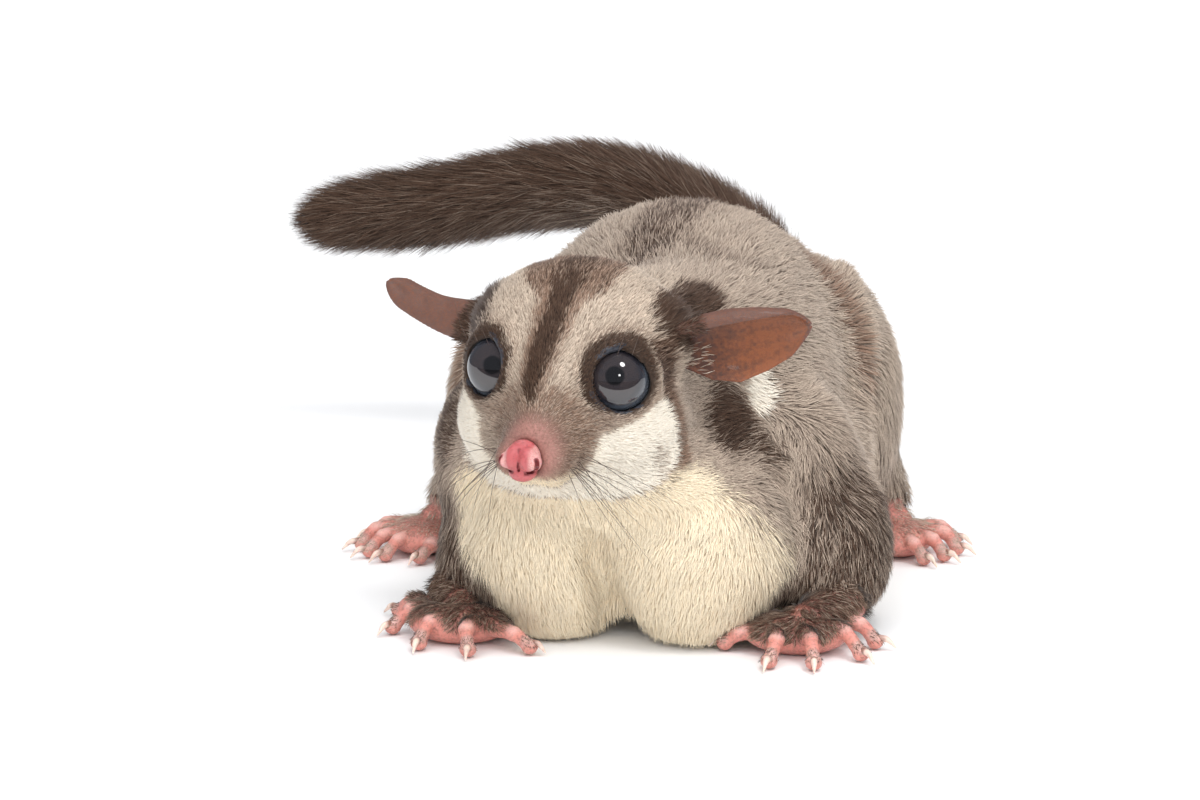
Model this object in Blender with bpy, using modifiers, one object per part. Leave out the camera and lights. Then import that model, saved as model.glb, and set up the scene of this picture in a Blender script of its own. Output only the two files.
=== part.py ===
"""A sugar glider crouched on all fours, as a still model at life size.

Sizes are millimetres in the animal's own frame: it faces -Y, its left is +X and the floor is z = 0.
Every solid reaches out to the tips of the coat.
"""

import math
import random

import bmesh
import bpy
import numpy as np
from mathutils import Euler, Matrix, Vector
from mathutils.bvhtree import BVHTree

MM = 0.001
GAP = 0.3
SEED = 11
DRAW = random.Random(SEED)

# Head frame: its origin is midway between the eyeballs
HEAD_AT = (-6.5, -0.9, 45.4)
HEAD_YAW = 12.1
HEAD_PITCH = 12.0
HEAD_ROLL = 2.1

EYE_APART = 9.75
EYE_HEIGHT = 0.6
EYE_RADIUS = 5.6
EYE_OUT = 38.0
EYE_UP = 17.0
LID_RING = 5.65
LID_THICK = 1.15
LID_OUT = 2.5

NOSE_MIDDLE = -0.75
NOSTRIL = [(1.2, -9.3), (2.4, -8.9), (2.85, -8.0), (2.7, -7.3)]
NOSTRIL_RADII = [0.3, 0.45, 0.45, 0.3]
NOSE_GROOVE = [(0, -5.9), (0, -8.0), (0, -11.2)]
NOSE_GROOVE_RADII = [0.28, 0.32, 0.4]

# Ear stations: share of the way to the tip, width above and below the middle, cup and rolled rim in degrees
EAR_ROOTS = {"left": (17.6, 11.5, 3.4), "right": (-17.6, 11.5, 5.4)}
EAR_TIPS = {"left": (36.2, 18.0, 5.4), "right": (-36.2, 18.0, 6.2)}
EAR_OPENINGS = {"left": (0.1, -0.9, -0.1), "right": (0.1, 0.5, -0.87)}
EAR_ARCH = {"left": -0.7, "right": 1.5}
EAR_STATIONS = {
    "left": [(0.0, 4.2, 2.0, 62, 90), (0.12, 6.0, 4.8, 58, 110), (0.3, 7.6, 7.6, 50, 120)]
    + [(0.48, 7.8, 8.7, 46, 120), (0.68, 6.8, 7.2, 38, 110)]
    + [(0.85, 5.4, 5.2, 30, 90), (1.0, 3.4, 2.6, 24, 50)],
    "right": [(0.0, 6.8, 6.2, 62, 40), (0.3, 4.9, 5.0, 52, 40), (0.6, 2.9, 4.0, 42, 40)]
    + [(0.85, 2.6, 3.3, 34, 30), (1.0, 3.0, 2.8, 26, 20)],
}
EAR_BLUNT = 0.84
EAR_ROLLED = 0.35
EAR_BURIED = 3.0
EAR_SKIN = 0.9

# Where head and neck end, in the head frame
HEAD_BELOW, HEAD_BEHIND = -19.6, 19.5
NECK_BELOW, NECK_BEHIND = -26.0, 31.0

BODY_VOXEL = 1.1
HEAD_VOXEL = 0.55
FOOT_VOXEL = 0.4
BODY_TRIANGLES = 2500
HEAD_TRIANGLES = 3600
NOSE_TRIANGLES = 220
EAR_TRIANGLES = 460
FOOT_TRIANGLES = 310
TAIL_CORE_TRIANGLES = 420
TAIL_CORE = 0.66
TAIL_LOCK_STEP = 12.4
TAIL_LOCKS_ROUND = 6
LOCK_LENGTH = 23.0
LOCK_WIDTH = 8.0
LOCK_THICK = 2.6

TAIL_PATH = [
    ((7, 112, 23), 9.5),
    ((13, 122, 27), 9.3),
    ((15.5, 131, 34), 9.2),
    ((10.5, 138, 42.5), 9.2),
    ((3.2, 146.5, 47.5), 9.3),
    ((-5.7, 154.7, 50.6), 9.4),
    ((-16.7, 162.2, 53.2), 9.5),
    ((-27.5, 166.8, 53.6), 9.6),
    ((-38.3, 170.3, 52.3), 9.5),
    ((-49, 172.9, 50.1), 9.1),
    ((-59.7, 174.4, 47.9), 8.8),
    ((-70.3, 174.9, 46.4), 8.0),
    ((-79, 174.6, 45.2), 6.0),
    ((-83, 174.1, 44.6), 3.2),
]
TAIL_CUTS = (0.36, 0.68)

# Feet, arms and legs, in millimetres of the model frame
FOREFEET = {
    "left": {
        "wrist": [(38, 16, 7), (36, 13, 5), (31, 7, 3.6)],
        "palm": ((31, 6.5, 2.9), (8.5, 5.6, 3.3)),
        "digits": [
            [(26, 6.5, 3.4), (22, 4.6, 3.0), (19.6, 5.2, 1.3)],
            [(28, 4, 3.6), (28.6, -1.4, 3.7), (27.8, -5.2, 1.2)],
            [(32, 4, 3.8), (33.9, -1.0, 4.0), (34.9, -5.2, 1.2)],
            [(35.5, 7, 3.8), (39.0, 4.0, 4.0), (41.9, 1.4, 1.2)],
            [(36.5, 11, 3.8), (41.0, 10.4, 3.8), (43.6, 9.6, 1.2)],
        ],
        "claws": [
            (17.0, 5.8, 0.5), (27.3, -9.0, 0.4), (35.3, -8.9, 0.4),
            (44.2, -1.6, 0.4), (47.0, 9.0, 0.4),
        ],
    },
    "right": {
        "wrist": [(-26, 15, 7), (-25, 12, 5), (-24, 7, 3.6)],
        "palm": ((-24, 6, 2.9), (8.5, 5.6, 3.3)),
        "digits": [
            [(-19, 3, 3.4), (-14, -0.6, 3.0), (-11.2, -1.8, 1.3)],
            [(-21, 2, 3.6), (-21.5, -2.0, 3.8), (-20.8, -4.6, 1.2)],
            [(-25, 4, 3.8), (-28.0, 1.6, 4.0), (-29.4, -1.4, 1.2)],
            [(-28, 8, 3.8), (-32.6, 9.6, 4.0), (-35.6, 8.4, 1.2)],
            [(-28, 11, 3.8), (-33.4, 16.4, 3.8), (-36.6, 19.4, 1.2)],
        ],
        "claws": [
            (-8.6, -2.2, 0.5), (-20.6, -8.0, 0.4), (-29.7, -4.9, 0.4),
            (-37.6, 5.6, 0.4), (-39.6, 21.4, 0.4),
        ],
    },
}

HINDFEET = {
    "left": {
        "wrist": [(39, 84, 9), (40, 84, 6), (43, 82, 4)],
        "palm": ((43, 80, 2.8), (6.2, 8.5, 3.2)),
        "digits": [
            [(40, 76, 3.0), (39.5, 71.5, 2.8), (41, 68.4, 1.3)],
            [(44, 75, 3.4), (46, 72.0, 3.4), (48, 70.4, 1.2)],
            [(46, 77, 3.6), (49.2, 75.2, 3.6), (51.4, 73.6, 1.2)],
            [(47, 80, 3.6), (51, 80.0, 3.8), (53.4, 79.2, 1.2)],
            [(46, 84, 3.4), (50, 86.0, 3.6), (52.6, 86.6, 1.2)],
        ],
        "claws": [
            (42.4, 65.6, 0.5), (50.4, 67.6, 0.4), (54.4, 71.4, 0.4),
            (56.8, 78.2, 0.4), (55.8, 86.2, 0.4),
        ],
    },
    "right": {
        "wrist": [(-37, 74, 9), (-38, 74, 6), (-41, 72, 4)],
        "palm": ((-42, 70, 2.8), (6.2, 8.5, 3.2)),
        "digits": [
            [(-39, 66, 3.0), (-39, 61.5, 2.8), (-40.5, 58.4, 1.3)],
            [(-43, 65, 3.4), (-45, 62.0, 3.4), (-47, 60.0, 1.2)],
            [(-45, 67, 3.6), (-48.2, 64.4, 3.6), (-50.4, 62.6, 1.2)],
            [(-46, 70, 3.6), (-50.4, 69.0, 3.8), (-52.8, 67.8, 1.2)],
            [(-45, 74, 3.4), (-49.6, 75.0, 3.6), (-52.2, 75.4, 1.2)],
        ],
        "claws": [
            (-42.0, 55.6, 0.5), (-49.4, 57.2, 0.4), (-53.4, 60.4, 0.4),
            (-56.2, 66.6, 0.4), (-55.4, 75.0, 0.4),
        ],
    },
}
FOOT_SPACES = {
    "foreleft": ((27.2, -15, -20), (48, 19, 5.4)),
    "foreright": ((-45, -15, -20), (-21.8, 18, 5.4)),
    "hindleft": ((32, 64, -20), (60, 92, 5.4)),
    "hindright": ((-60, 54, -20), (-31, 82, 5.4)),
}
ARM_SPACES = {
    "left": ([(34, 34, 20), (39, 25, 13), (36, 14, 7), (32, 8, 3)], [7.5, 10.5, 9.5, 8]),
    "right": ([(-24, 27, 22), (-26, 19, 13), (-25, 12, 6), (-23, 7, 3)], [7.5, 9.0, 8.5, 8]),
}
LEG_SPACES = {
    "left": ((40, 81, 20), (11.5, 19, 21)),
    "right": ((-35, 76, 18), (11.5, 18, 20)),
}

# Folded gliding skin along each flank
PLEATS = {
    "left": [(42, 36, 17), (42, 46, 24), (43, 56, 33), (40, 66, 44), (36, 77, 54)]
    + [(34, 88, 52), (36, 98, 42), (40, 104, 28), (42, 102, 14)],
    "right": [(-32, 34, 17), (-36, 44, 24), (-38, 54, 32), (-36, 64, 42), (-32, 75, 51)]
    + [(-30, 86, 49), (-32, 96, 38), (-35, 100, 26), (-36, 98, 14)],
}
FOLD_RADIUS = 2.6
FOLD_IN_BODY = 0.9
FOLD_IN_SPLIT = 0.6

FUR_GREY = (0.38, 0.32, 0.27)
FUR_DARK = (0.075, 0.05, 0.04)
SKIN_PINK = (0.62, 0.24, 0.19)
SKIN_EAR = (0.32, 0.17, 0.13)
NOSE_PINK = (0.55, 0.22, 0.21)
EYE_BLACK = (0.012, 0.01, 0.012)


def clear_scene():
    """Removes the startup objects."""
    for obj in list(bpy.data.objects):
        bpy.data.objects.remove(obj)


def make_material(name, colour, roughness):
    """A plain Principled material."""
    material = bpy.data.materials.new(name)
    material.use_nodes = True
    shader = material.node_tree.nodes["Principled BSDF"]
    shader.inputs["Base Color"].default_value = (*colour, 1.0)
    shader.inputs["Roughness"].default_value = roughness
    shader.inputs["Metallic"].default_value = 0.0
    return material


def make_object(name, mesh, collection):
    """Links a new object for a mesh into a collection."""
    obj = bpy.data.objects.new(name, mesh)
    collection.objects.link(obj)
    return obj


def head_matrix():
    """Head frame to model frame, in millimetres."""
    yaw = Matrix.Rotation(math.radians(-HEAD_YAW), 4, "Z")
    pitch = Matrix.Rotation(math.radians(HEAD_PITCH), 4, "X")
    roll = Matrix.Rotation(math.radians(HEAD_ROLL), 4, "Y")
    return Matrix.Translation(HEAD_AT) @ yaw @ pitch @ roll


def ball(centre, radii, turn=(0, 0, 0), fine=24):
    """An ellipsoid, with its turn in degrees about X, Y and Z."""
    mesh = bpy.data.meshes.new("ball")
    form = bmesh.new()
    bmesh.ops.create_uvsphere(form, u_segments=fine, v_segments=fine // 2, radius=1.0)
    spin = Euler([math.radians(a) for a in turn]).to_matrix().to_4x4()
    size = Matrix.Diagonal((*radii, 1.0))
    bmesh.ops.transform(form, matrix=Matrix.Translation(centre) @ spin @ size, verts=form.verts)
    form.to_mesh(mesh)
    form.free()
    return scaled(mesh)


def box(low, high):
    """A box between two corners."""
    mesh = bpy.data.meshes.new("box")
    form = bmesh.new()
    bmesh.ops.create_cube(form, size=1.0)
    low, high = Vector(low), Vector(high)
    size = Matrix.Diagonal((*(high - low), 1.0))
    bmesh.ops.transform(form, matrix=Matrix.Translation((low + high) / 2) @ size, verts=form.verts)
    form.to_mesh(mesh)
    form.free()
    return scaled(mesh)


def scaled(mesh):
    """Turns a mesh in millimetres into metres."""
    mesh.transform(Matrix.Scale(MM, 4))
    return mesh


def limb(points, radii, around=4, along=5):
    """A round tapering rod through points, with closed ends."""
    curve = bpy.data.curves.new("limb", "CURVE")
    curve.dimensions = "3D"
    curve.bevel_depth = MM
    curve.bevel_resolution = around
    curve.resolution_u = along
    curve.use_fill_caps = True
    spline = curve.splines.new("BEZIER")
    spline.bezier_points.add(len(points) - 1)
    for knot, point, radius in zip(spline.bezier_points, points, radii):
        knot.co = Vector(point) * MM
        knot.radius = radius
        knot.handle_left_type = "AUTO"
        knot.handle_right_type = "AUTO"
    obj = make_object("limb", curve, bpy.context.scene.collection)
    mesh = bpy.data.meshes.new_from_object(obj.evaluated_get(bpy.context.evaluated_depsgraph_get()))
    bpy.data.objects.remove(obj)
    form = bmesh.new()
    form.from_mesh(mesh)
    bmesh.ops.remove_doubles(form, verts=form.verts, dist=1e-6)
    bmesh.ops.recalc_face_normals(form, faces=form.faces)
    form.to_mesh(mesh)
    form.free()
    return mesh


def placed(mesh, matrix):
    """Moves a mesh in metres by a matrix in millimetres."""
    mesh.transform(Matrix.Scale(MM, 4) @ matrix @ Matrix.Scale(1 / MM, 4))
    return mesh


def mirrored(mesh):
    """A copy of a mesh on the other side of x = 0."""
    other = mesh.copy()
    other.transform(Matrix.Scale(-1, 4, (1, 0, 0)))
    other.flip_normals()
    return other


def joined(meshes):
    """One mesh that holds all of these."""
    form = bmesh.new()
    for mesh in meshes:
        form.from_mesh(mesh)
    mesh = bpy.data.meshes.new("joined")
    form.to_mesh(mesh)
    form.free()
    return mesh


def settled(obj):
    """The object's mesh with its modifiers applied; the object goes."""
    graph = bpy.context.evaluated_depsgraph_get()
    mesh = bpy.data.meshes.new_from_object(obj.evaluated_get(graph))
    bpy.data.objects.remove(obj)
    return mesh


def fuse(meshes, voxel, smooth, triangles=None):
    """One closed skin round all the meshes, faired and thinned out."""
    obj = make_object("fused", joined(meshes), bpy.context.scene.collection)
    skin = obj.modifiers.new("Skin", "REMESH")
    skin.mode = "VOXEL"
    skin.voxel_size = voxel * MM
    if smooth:
        fair = obj.modifiers.new("Fair", "SMOOTH")
        fair.factor = 0.5
        fair.iterations = smooth
    mesh = settled(obj)
    if triangles:
        mesh = thinned(mesh, triangles)
    return largest(mesh)


def is_sound(mesh):
    """Whether the mesh is closed, with two faces at each edge."""
    form = bmesh.new()
    form.from_mesh(mesh)
    sound = all(edge.is_manifold for edge in form.edges) and all(vert.is_manifold for vert in form.verts)
    form.free()
    return sound


def thinned(mesh, triangles):
    """The mesh with about this many triangles, or a few more where that keeps it closed."""
    faces = sum(len(face.vertices) - 2 for face in mesh.polygons)
    for extra in range(10):
        obj = make_object("thin", mesh.copy(), bpy.context.scene.collection)
        fewer = obj.modifiers.new("Fewer", "DECIMATE")
        fewer.ratio = min(1.0, triangles * (1 + 0.02 * extra) / faces)
        fewer.use_collapse_triangulate = True
        result = settled(obj)
        if is_sound(result):
            break
    return result


def surfaces(mesh):
    """The separate surfaces of a mesh as meshes, biggest first."""
    form = bmesh.new()
    form.from_mesh(mesh)
    form.verts.ensure_lookup_table()
    label = [-1] * len(form.verts)
    sizes = []
    for seed in form.verts:
        if label[seed.index] >= 0:
            continue
        label[seed.index] = len(sizes)
        stack = [seed]
        count = 0
        while stack:
            vert = stack.pop()
            count += 1
            for edge in vert.link_edges:
                other = edge.other_vert(vert)
                if label[other.index] < 0:
                    label[other.index] = len(sizes)
                    stack.append(other)
        sizes.append(count)
    form.free()
    order = sorted(range(len(sizes)), key=lambda k: -sizes[k])
    return [only(mesh, label, kept) for kept in order]


def only(mesh, label, kept):
    """A copy of the mesh with only the points of one label."""
    form = bmesh.new()
    form.from_mesh(mesh)
    gone = [vert for vert in form.verts if label[vert.index] != kept]
    bmesh.ops.delete(form, geom=gone, context="VERTS")
    copy = mesh.copy()
    form.to_mesh(copy)
    form.free()
    return copy


def largest(mesh):
    """The mesh with only the biggest of its separate surfaces."""
    return surfaces(mesh)[0]


def cut(mesh, tool, operation):
    """The mesh after one Boolean with a tool mesh, in all its surfaces."""
    target = make_object("target", mesh, bpy.context.scene.collection)
    other = make_object("tool", tool, bpy.context.scene.collection)
    knife = target.modifiers.new("Cut", "BOOLEAN")
    knife.operation = operation
    knife.solver = "MANIFOLD"
    knife.object = other
    result = settled(target)
    bpy.data.objects.remove(other)
    return result


def carved(mesh, tool, operation):
    """The biggest surface left by one Boolean with a tool mesh."""
    return largest(cut(mesh, tool, operation))


def united(meshes):
    """The union of several closed meshes."""
    first, *others = meshes
    group = bpy.data.collections.new("union")
    bpy.context.scene.collection.children.link(group)
    for mesh in others:
        make_object("part", mesh, group)
    target = make_object("target", first, bpy.context.scene.collection)
    union = target.modifiers.new("Union", "BOOLEAN")
    union.operation = "UNION"
    union.solver = "MANIFOLD"
    union.operand_type = "COLLECTION"
    union.collection = group
    result = settled(target)
    for obj in list(group.objects):
        bpy.data.objects.remove(obj)
    bpy.data.collections.remove(group)
    return largest(result)


def swollen(mesh, by):
    """A copy of the mesh pushed out along its normals."""
    obj = make_object("swollen", mesh.copy(), bpy.context.scene.collection)
    push = obj.modifiers.new("Push", "DISPLACE")
    push.strength = by * MM
    push.mid_level = 0.0
    return settled(obj)


def part_off(whole, region, wider):
    """Splits a mesh in two along a region: (piece inside, rest outside the wider region)."""
    piece = carved(whole.copy(), region, "INTERSECT")
    rest = carved(whole, wider, "DIFFERENCE")
    return piece, rest


def on_floor(mesh):
    """Cuts off what lies below the floor, which leaves small flats."""
    return carved(mesh, box((-200, -200, -30), (200, 300, 0)), "DIFFERENCE")


def head_core():
    """Skull, cheeks, muzzle and jaw, in the head frame."""
    cheek = ball((9.2, 5.2, -9.2), (10.2, 12.2, 10.2), (0, 0, -8))
    pad = ball((3.1, -11.3, -9.4), (3.7, 4.4, 3.3), (0, 0, 14))
    return [
        ball((0, 10.5, 1.4), (18.2, 15.6, 14.2), fine=32),
        limb([(0, -14.2, -8.0), (0, -10, -8.2), (0, -5, -7.0), (0, 3, -4.0)], [3.9, 6.0, 8.4, 11.4]),
        limb([(0, -13.2, -6.8), (0, -8, -4.0), (0, -1, 1.6), (0, 9, 4)], [3.0, 4.8, 7.6, 9.5]),
        ball((0, -2.6, -12.8), (8.0, 9.8, 5.3)),
        cheek,
        mirrored(cheek),
        pad,
        mirrored(pad),
    ]


def eye_axis():
    """The way the left eye looks, in the head frame."""
    out, up = math.radians(EYE_OUT), math.radians(EYE_UP)
    return Vector((math.sin(out) * math.cos(up), -math.cos(out) * math.cos(up), math.sin(up)))


def lid_ring():
    """The lids of the left eye as one ring, in the head frame."""
    bpy.ops.mesh.primitive_torus_add(
        major_segments=32, minor_segments=10, major_radius=LID_RING * MM, minor_radius=LID_THICK * MM
    )
    obj = bpy.context.object
    mesh = obj.data.copy()
    bpy.data.objects.remove(obj)
    centre = Vector((EYE_APART, 0, EYE_HEIGHT)) + eye_axis() * LID_OUT
    turn = eye_axis().to_track_quat("Z", "Y").to_matrix().to_4x4()
    return placed(mesh, Matrix.Translation(centre) @ turn)


def both(mesh):
    """A mesh of the left side with its mirror image."""
    return [mesh, mirrored(mesh)]


def mouth_line():
    """The groove of the closed mouth, in the head frame."""
    side = [(0.0, -15.6, -12.2), (2.6, -13.6, -12.6), (5.6, -9.6, -12.2), (8.4, -5.2, -11.0)]
    groove = limb(side, [0.5, 0.5, 0.5, 0.35], around=0, along=2)
    cleft = limb([(0, -17.2, -9.6), (0, -15.6, -12.4)], [0.35, 0.45], around=0, along=1)
    return [groove, mirrored(groove), cleft]


def on_front(mesh, places):
    """Puts places across and up, in the head frame, on the front of a mesh."""
    form = bmesh.new()
    form.from_mesh(mesh)
    tree = BVHTree.FromBMesh(form)
    form.free()
    hits = [tree.ray_cast(Vector((x, -40, z)) * MM, Vector((0, 1, 0)))[0] for x, z in places]
    return [tuple(hit / MM) for hit in hits]


def nose_pad():
    """The bare pad of the nose with its nostrils, in the head frame."""
    lobe = ball((1.1, -15.9, -7.5), (1.5, 2.1, 2.15), (0, 0, 10))
    wing = ball((2.2, -15.9, -7.9), (1.25, 1.9, 1.4), (0, 0, 20))
    core = [ball((0, -14.8, -8.0), (2.8, 2.5, 3.1)), ball((0, -15.5, -9.9), (2.3, 2.0, 1.6))]
    pad = fuse(core + both(lobe) + both(wing), 0.3, 1, NOSE_TRIANGLES)
    nostril = limb(on_front(pad, NOSTRIL), NOSTRIL_RADII, around=0, along=2)
    groove = limb(on_front(pad, NOSE_GROOVE), NOSE_GROOVE_RADII, around=0, along=2)
    for tool in (nostril, mirrored(nostril), groove):
        pad = carved(pad, tool, "DIFFERENCE")
    return placed(pad, Matrix.Translation((NOSE_MIDDLE, 0, 0)))


def ear_section(side, share, columns):
    """The ear's cross-section as (across, into the cup) places, a share of the way to its tip."""
    table = np.array(EAR_STATIONS[side], float)
    above, below, cup, roll = (np.interp(share, table[:, 0], table[:, k]) for k in range(1, 5))
    past = max((share - EAR_BLUNT) / (1 - EAR_BLUNT), 0.0)
    ending = math.sqrt(max(1 - past**2, 0.05))
    t = np.linspace(-1, 1, columns)
    rim = np.clip((-t - EAR_ROLLED) / (1 - EAR_ROLLED), 0, 1)
    angle = np.radians(cup * t - roll * rim**2 * (3 - 2 * rim))
    step = np.where(t < 0, above, below) * ending * (t[1] - t[0])
    places = np.column_stack([np.cumsum(np.cos(angle) * step), np.cumsum(np.sin(angle) * step)])
    return places - places[columns // 2]


def ear(side, rows=13, columns=15):
    """One cupped ear, in the head frame."""
    root, tip = Vector(EAR_ROOTS[side]), Vector(EAR_TIPS[side])
    along = (tip - root).normalized()
    opening = Vector(EAR_OPENINGS[side])
    inner = (opening - along * opening.dot(along)).normalized()
    across = along.cross(inner)
    form = bmesh.new()
    grid = []
    for share in np.linspace(0, 1, rows):
        bow = Vector((0, 0, -EAR_ARCH[side] * math.sin(math.pi * share)))
        centre = root.lerp(tip, share) - along * EAR_BURIED * (1 - share) + bow
        section = ear_section(side, share, columns)
        grid.append([form.verts.new((centre + across * a + inner * b) * MM) for a, b in section])
    for low, high in zip(grid[:-1], grid[1:]):
        for j in range(columns - 1):
            form.faces.new((low[j], low[j + 1], high[j + 1], high[j]))
    mesh = bpy.data.meshes.new("ear")
    form.to_mesh(mesh)
    form.free()
    obj = make_object("ear", mesh, bpy.context.scene.collection)
    skin = obj.modifiers.new("Skin", "SOLIDIFY")
    skin.thickness = EAR_SKIN * MM
    skin.offset = 0.0
    return fuse([settled(obj)], 0.35, 3, EAR_TRIANGLES)


def trunk():
    """Neck, chest, shoulders, back and rump."""
    spine = [(-4, 10, 43), (1, 22, 41), (7, 34, 37.5), (9, 48, 34.5), (7, 64, 33.5)]
    spine += [(4, 80, 33), (4, 96, 30.5), (6, 110, 28), (7, 122, 26)]
    return [
        limb(spine, [15, 18.5, 21.5, 25, 28.5, 30.5, 28.5, 22.5, 13], around=8),
        ball((-9.5, 12.8, 15.6), (15, 12.8, 17.5)),
        ball((14.5, 11, 15.4), (15.5, 13.2, 16.6)),
        ball((1, 9, 27), (20, 14, 11)),
        ball((4, 26, 24), (28, 22, 20)),
        ball((6, 55, 23), (34, 34, 20), fine=32),
        ball((4, 62, 16), (31, 42, 12)),
    ]


def thighs():
    """The hind legs down to the ankles."""
    return {
        "left": [ball((26, 80, 27), (17.4, 27, 26.5)), limb([(34, 88, 14), (41, 82, 7)], [9, 6])],
        "right": [ball((-20, 74, 25), (18, 26, 25)), limb([(-30, 78, 14), (-38, 70, 7)], [9, 6])],
    }


def arms():
    """The forelegs down to the wrists."""
    return {
        "left": [
            ball((26, 31, 24), (14, 17, 17)),
            ball((32, 24, 13.5), (12.8, 12.5, 12.5)),
            limb([(31, 32, 22), (37.5, 26, 13), (37, 16, 7), (35.5, 12, 5.4)], [11, 8.4, 5.8, 4.8]),
        ],
        "right": [
            ball((-16, 21, 28), (15.4, 14, 17)),
            ball((-20, 19, 12.5), (10, 11, 12)),
            limb([(-19, 24, 22), (-22, 19, 12), (-24.5, 14, 7), (-24.5, 11, 5.4)], [11, 8, 5.8, 4.8]),
        ],
    }


def pleat(path, radius):
    """A rod along the folded gliding skin of one flank."""
    return limb(path, [radius] * len(path), around=0, along=2)


def hugging(path, mesh, depth):
    """The path drawn in to the mesh, this deep under its surface."""
    form = bmesh.new()
    form.from_mesh(mesh)
    tree = BVHTree.FromBMesh(form)
    form.free()
    drawn = []
    for point in path:
        near, normal, _, _ = tree.find_nearest(Vector(point) * MM)
        drawn.append(near / MM - normal * depth)
    return drawn


def foot(spec):
    """Palm, five digits and their claws as one closed solid."""
    forms = [ball(*spec["palm"]), limb(spec["wrist"], [4.6, 4.4, 3.2])]
    claws = []
    for digit, claw in zip(spec["digits"], spec["claws"]):
        forms.append(limb(digit, [1.7, 1.35, 1.15], around=3))
        forms.append(ball(digit[-1], (1.45, 1.45, 1.3), fine=12))
        start, end = Vector(digit[-1]) + Vector((0, 0, 0.5)), Vector(claw)
        middle = start.lerp(end, 0.55) + Vector((0, 0, 0.7))
        claws.append(limb([start, middle, end], [0.75, 0.55, 0.28], around=0, along=1))
    skin = fuse(forms, FOOT_VOXEL, 3, FOOT_TRIANGLES)
    return on_floor(united([skin, *claws]))


def foot_space(side, kind, by):
    """The space under one wrist or ankle, which belongs to the foot."""
    low, high = FOOT_SPACES[kind + side]
    return box([value - by for value in low], [value + by for value in high])


def tail_runs():
    """The tail's knots as arrays: share of the way along, place and radius."""
    points = np.array([point for point, _ in TAIL_PATH], float)
    radii = np.array([radius for _, radius in TAIL_PATH], float)
    steps = np.linalg.norm(np.diff(points, axis=0), axis=1)
    return np.concatenate([[0.0], np.cumsum(steps)]) / steps.sum(), points, radii, steps.sum()


def tail_point(share):
    """A place on the tail's middle line, its direction and the coat's radius there."""
    run, points, radii, _ = tail_runs()
    at, ahead, behind = (
        Vector([float(np.interp(min(max(place, 0), 1), run, points[:, k])) for k in range(3)])
        for place in (share, share + 0.03, share - 0.03)
    )
    return at, (ahead - behind).normalized(), float(np.interp(share, run, radii))


def lock(share, turn):
    """One flat tapered lock of the tail's coat, which bends along its lie out to the coat's edge."""
    total = tail_runs()[3]
    length = LOCK_LENGTH * DRAW.uniform(0.85, 1.15)
    stations = ((0.0, 0.38, 0.8), (0.38, 0.8, 1.0), (0.75, 0.97, 0.62))
    form = bmesh.new()
    rings = []
    for along, rise, width in stations:
        at, way, radius = tail_point(share + along * length / total)
        side = way.cross(Vector((0, 0, 1))).normalized()
        out = Matrix.Rotation(turn, 3, way) @ side
        across = way.cross(out)
        centre = at + out * (radius * rise - LOCK_THICK / 2)
        half, thick = LOCK_WIDTH * width / 2, LOCK_THICK * width / 2
        corners = (across * half, out * thick, -across * half, -out * thick)
        rings.append([form.verts.new((centre + corner) * MM) for corner in corners])
    at, way, radius = tail_point(min(share + length / total, 1.0))
    side = way.cross(Vector((0, 0, 1))).normalized()
    out = Matrix.Rotation(turn, 3, way) @ side
    over = max(share + length / total - 1.0, 0) * total
    tip = form.verts.new((at + way * over + out * max(radius - 0.1, 0.8)) * MM)
    for low, high in zip(rings, rings[1:]):
        for k in range(4):
            form.faces.new((low[k], low[(k + 1) % 4], high[(k + 1) % 4], high[k]))
    for k in range(4):
        form.faces.new((rings[-1][k], rings[-1][(k + 1) % 4], tip))
    form.faces.new(list(reversed(rings[0])))
    bmesh.ops.recalc_face_normals(form, faces=form.faces)
    mesh = bpy.data.meshes.new("lock")
    form.to_mesh(mesh)
    form.free()
    return mesh


def tail_locks():
    """Rings of locks from the tail's root to its end."""
    total = tail_runs()[3]
    locks = []
    rings = int(total / TAIL_LOCK_STEP)
    for ring in range(1, rings):
        share = ring * TAIL_LOCK_STEP / total
        for k in range(TAIL_LOCKS_ROUND):
            turn = 2 * math.pi * (k + 0.5 * (ring % 2) + DRAW.uniform(-0.2, 0.2)) / TAIL_LOCKS_ROUND
            locks.append(lock(share + DRAW.uniform(-0.012, 0.012), turn))
    return locks


def tail_whole():
    """The tail's core with its locks as one solid out to the tips of its coat."""
    points = [point for point, _ in TAIL_PATH]
    radii = [radius * TAIL_CORE for _, radius in TAIL_PATH]
    core = fuse([limb(points, radii, around=8, along=6)], 1.0, 3, TAIL_CORE_TRIANGLES)
    return united([core, *tail_locks()])


def slab(share, thick):
    """A thin slab square across the tail, this share of the way along it."""
    at, way, _ = tail_point(share)
    turn = way.to_track_quat("Z", "Y").to_matrix().to_4x4()
    return placed(box((-26, -26, -thick / 2), (26, 26, thick / 2)), Matrix.Translation(at) @ turn)


def add_tail(parts, body):
    """Parts the tail into three lengths."""
    tail = carved(tail_whole(), swollen(body, GAP), "DIFFERENCE")
    for share in TAIL_CUTS:
        tail = cut(tail, slab(share, GAP), "DIFFERENCE")
    lengths = surfaces(tail)[:3]
    lengths.sort(key=lambda mesh: min((vert.co - tail_point(0)[0] * MM).length for vert in mesh.vertices))
    for name, mesh in zip(("tail_base", "tail_middle", "tail_end"), lengths):
        parts[name] = (mesh, "fur_dark")


def grown(radii, by):
    """Radii made larger by one gap."""
    return [radius + by for radius in radii]


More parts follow.
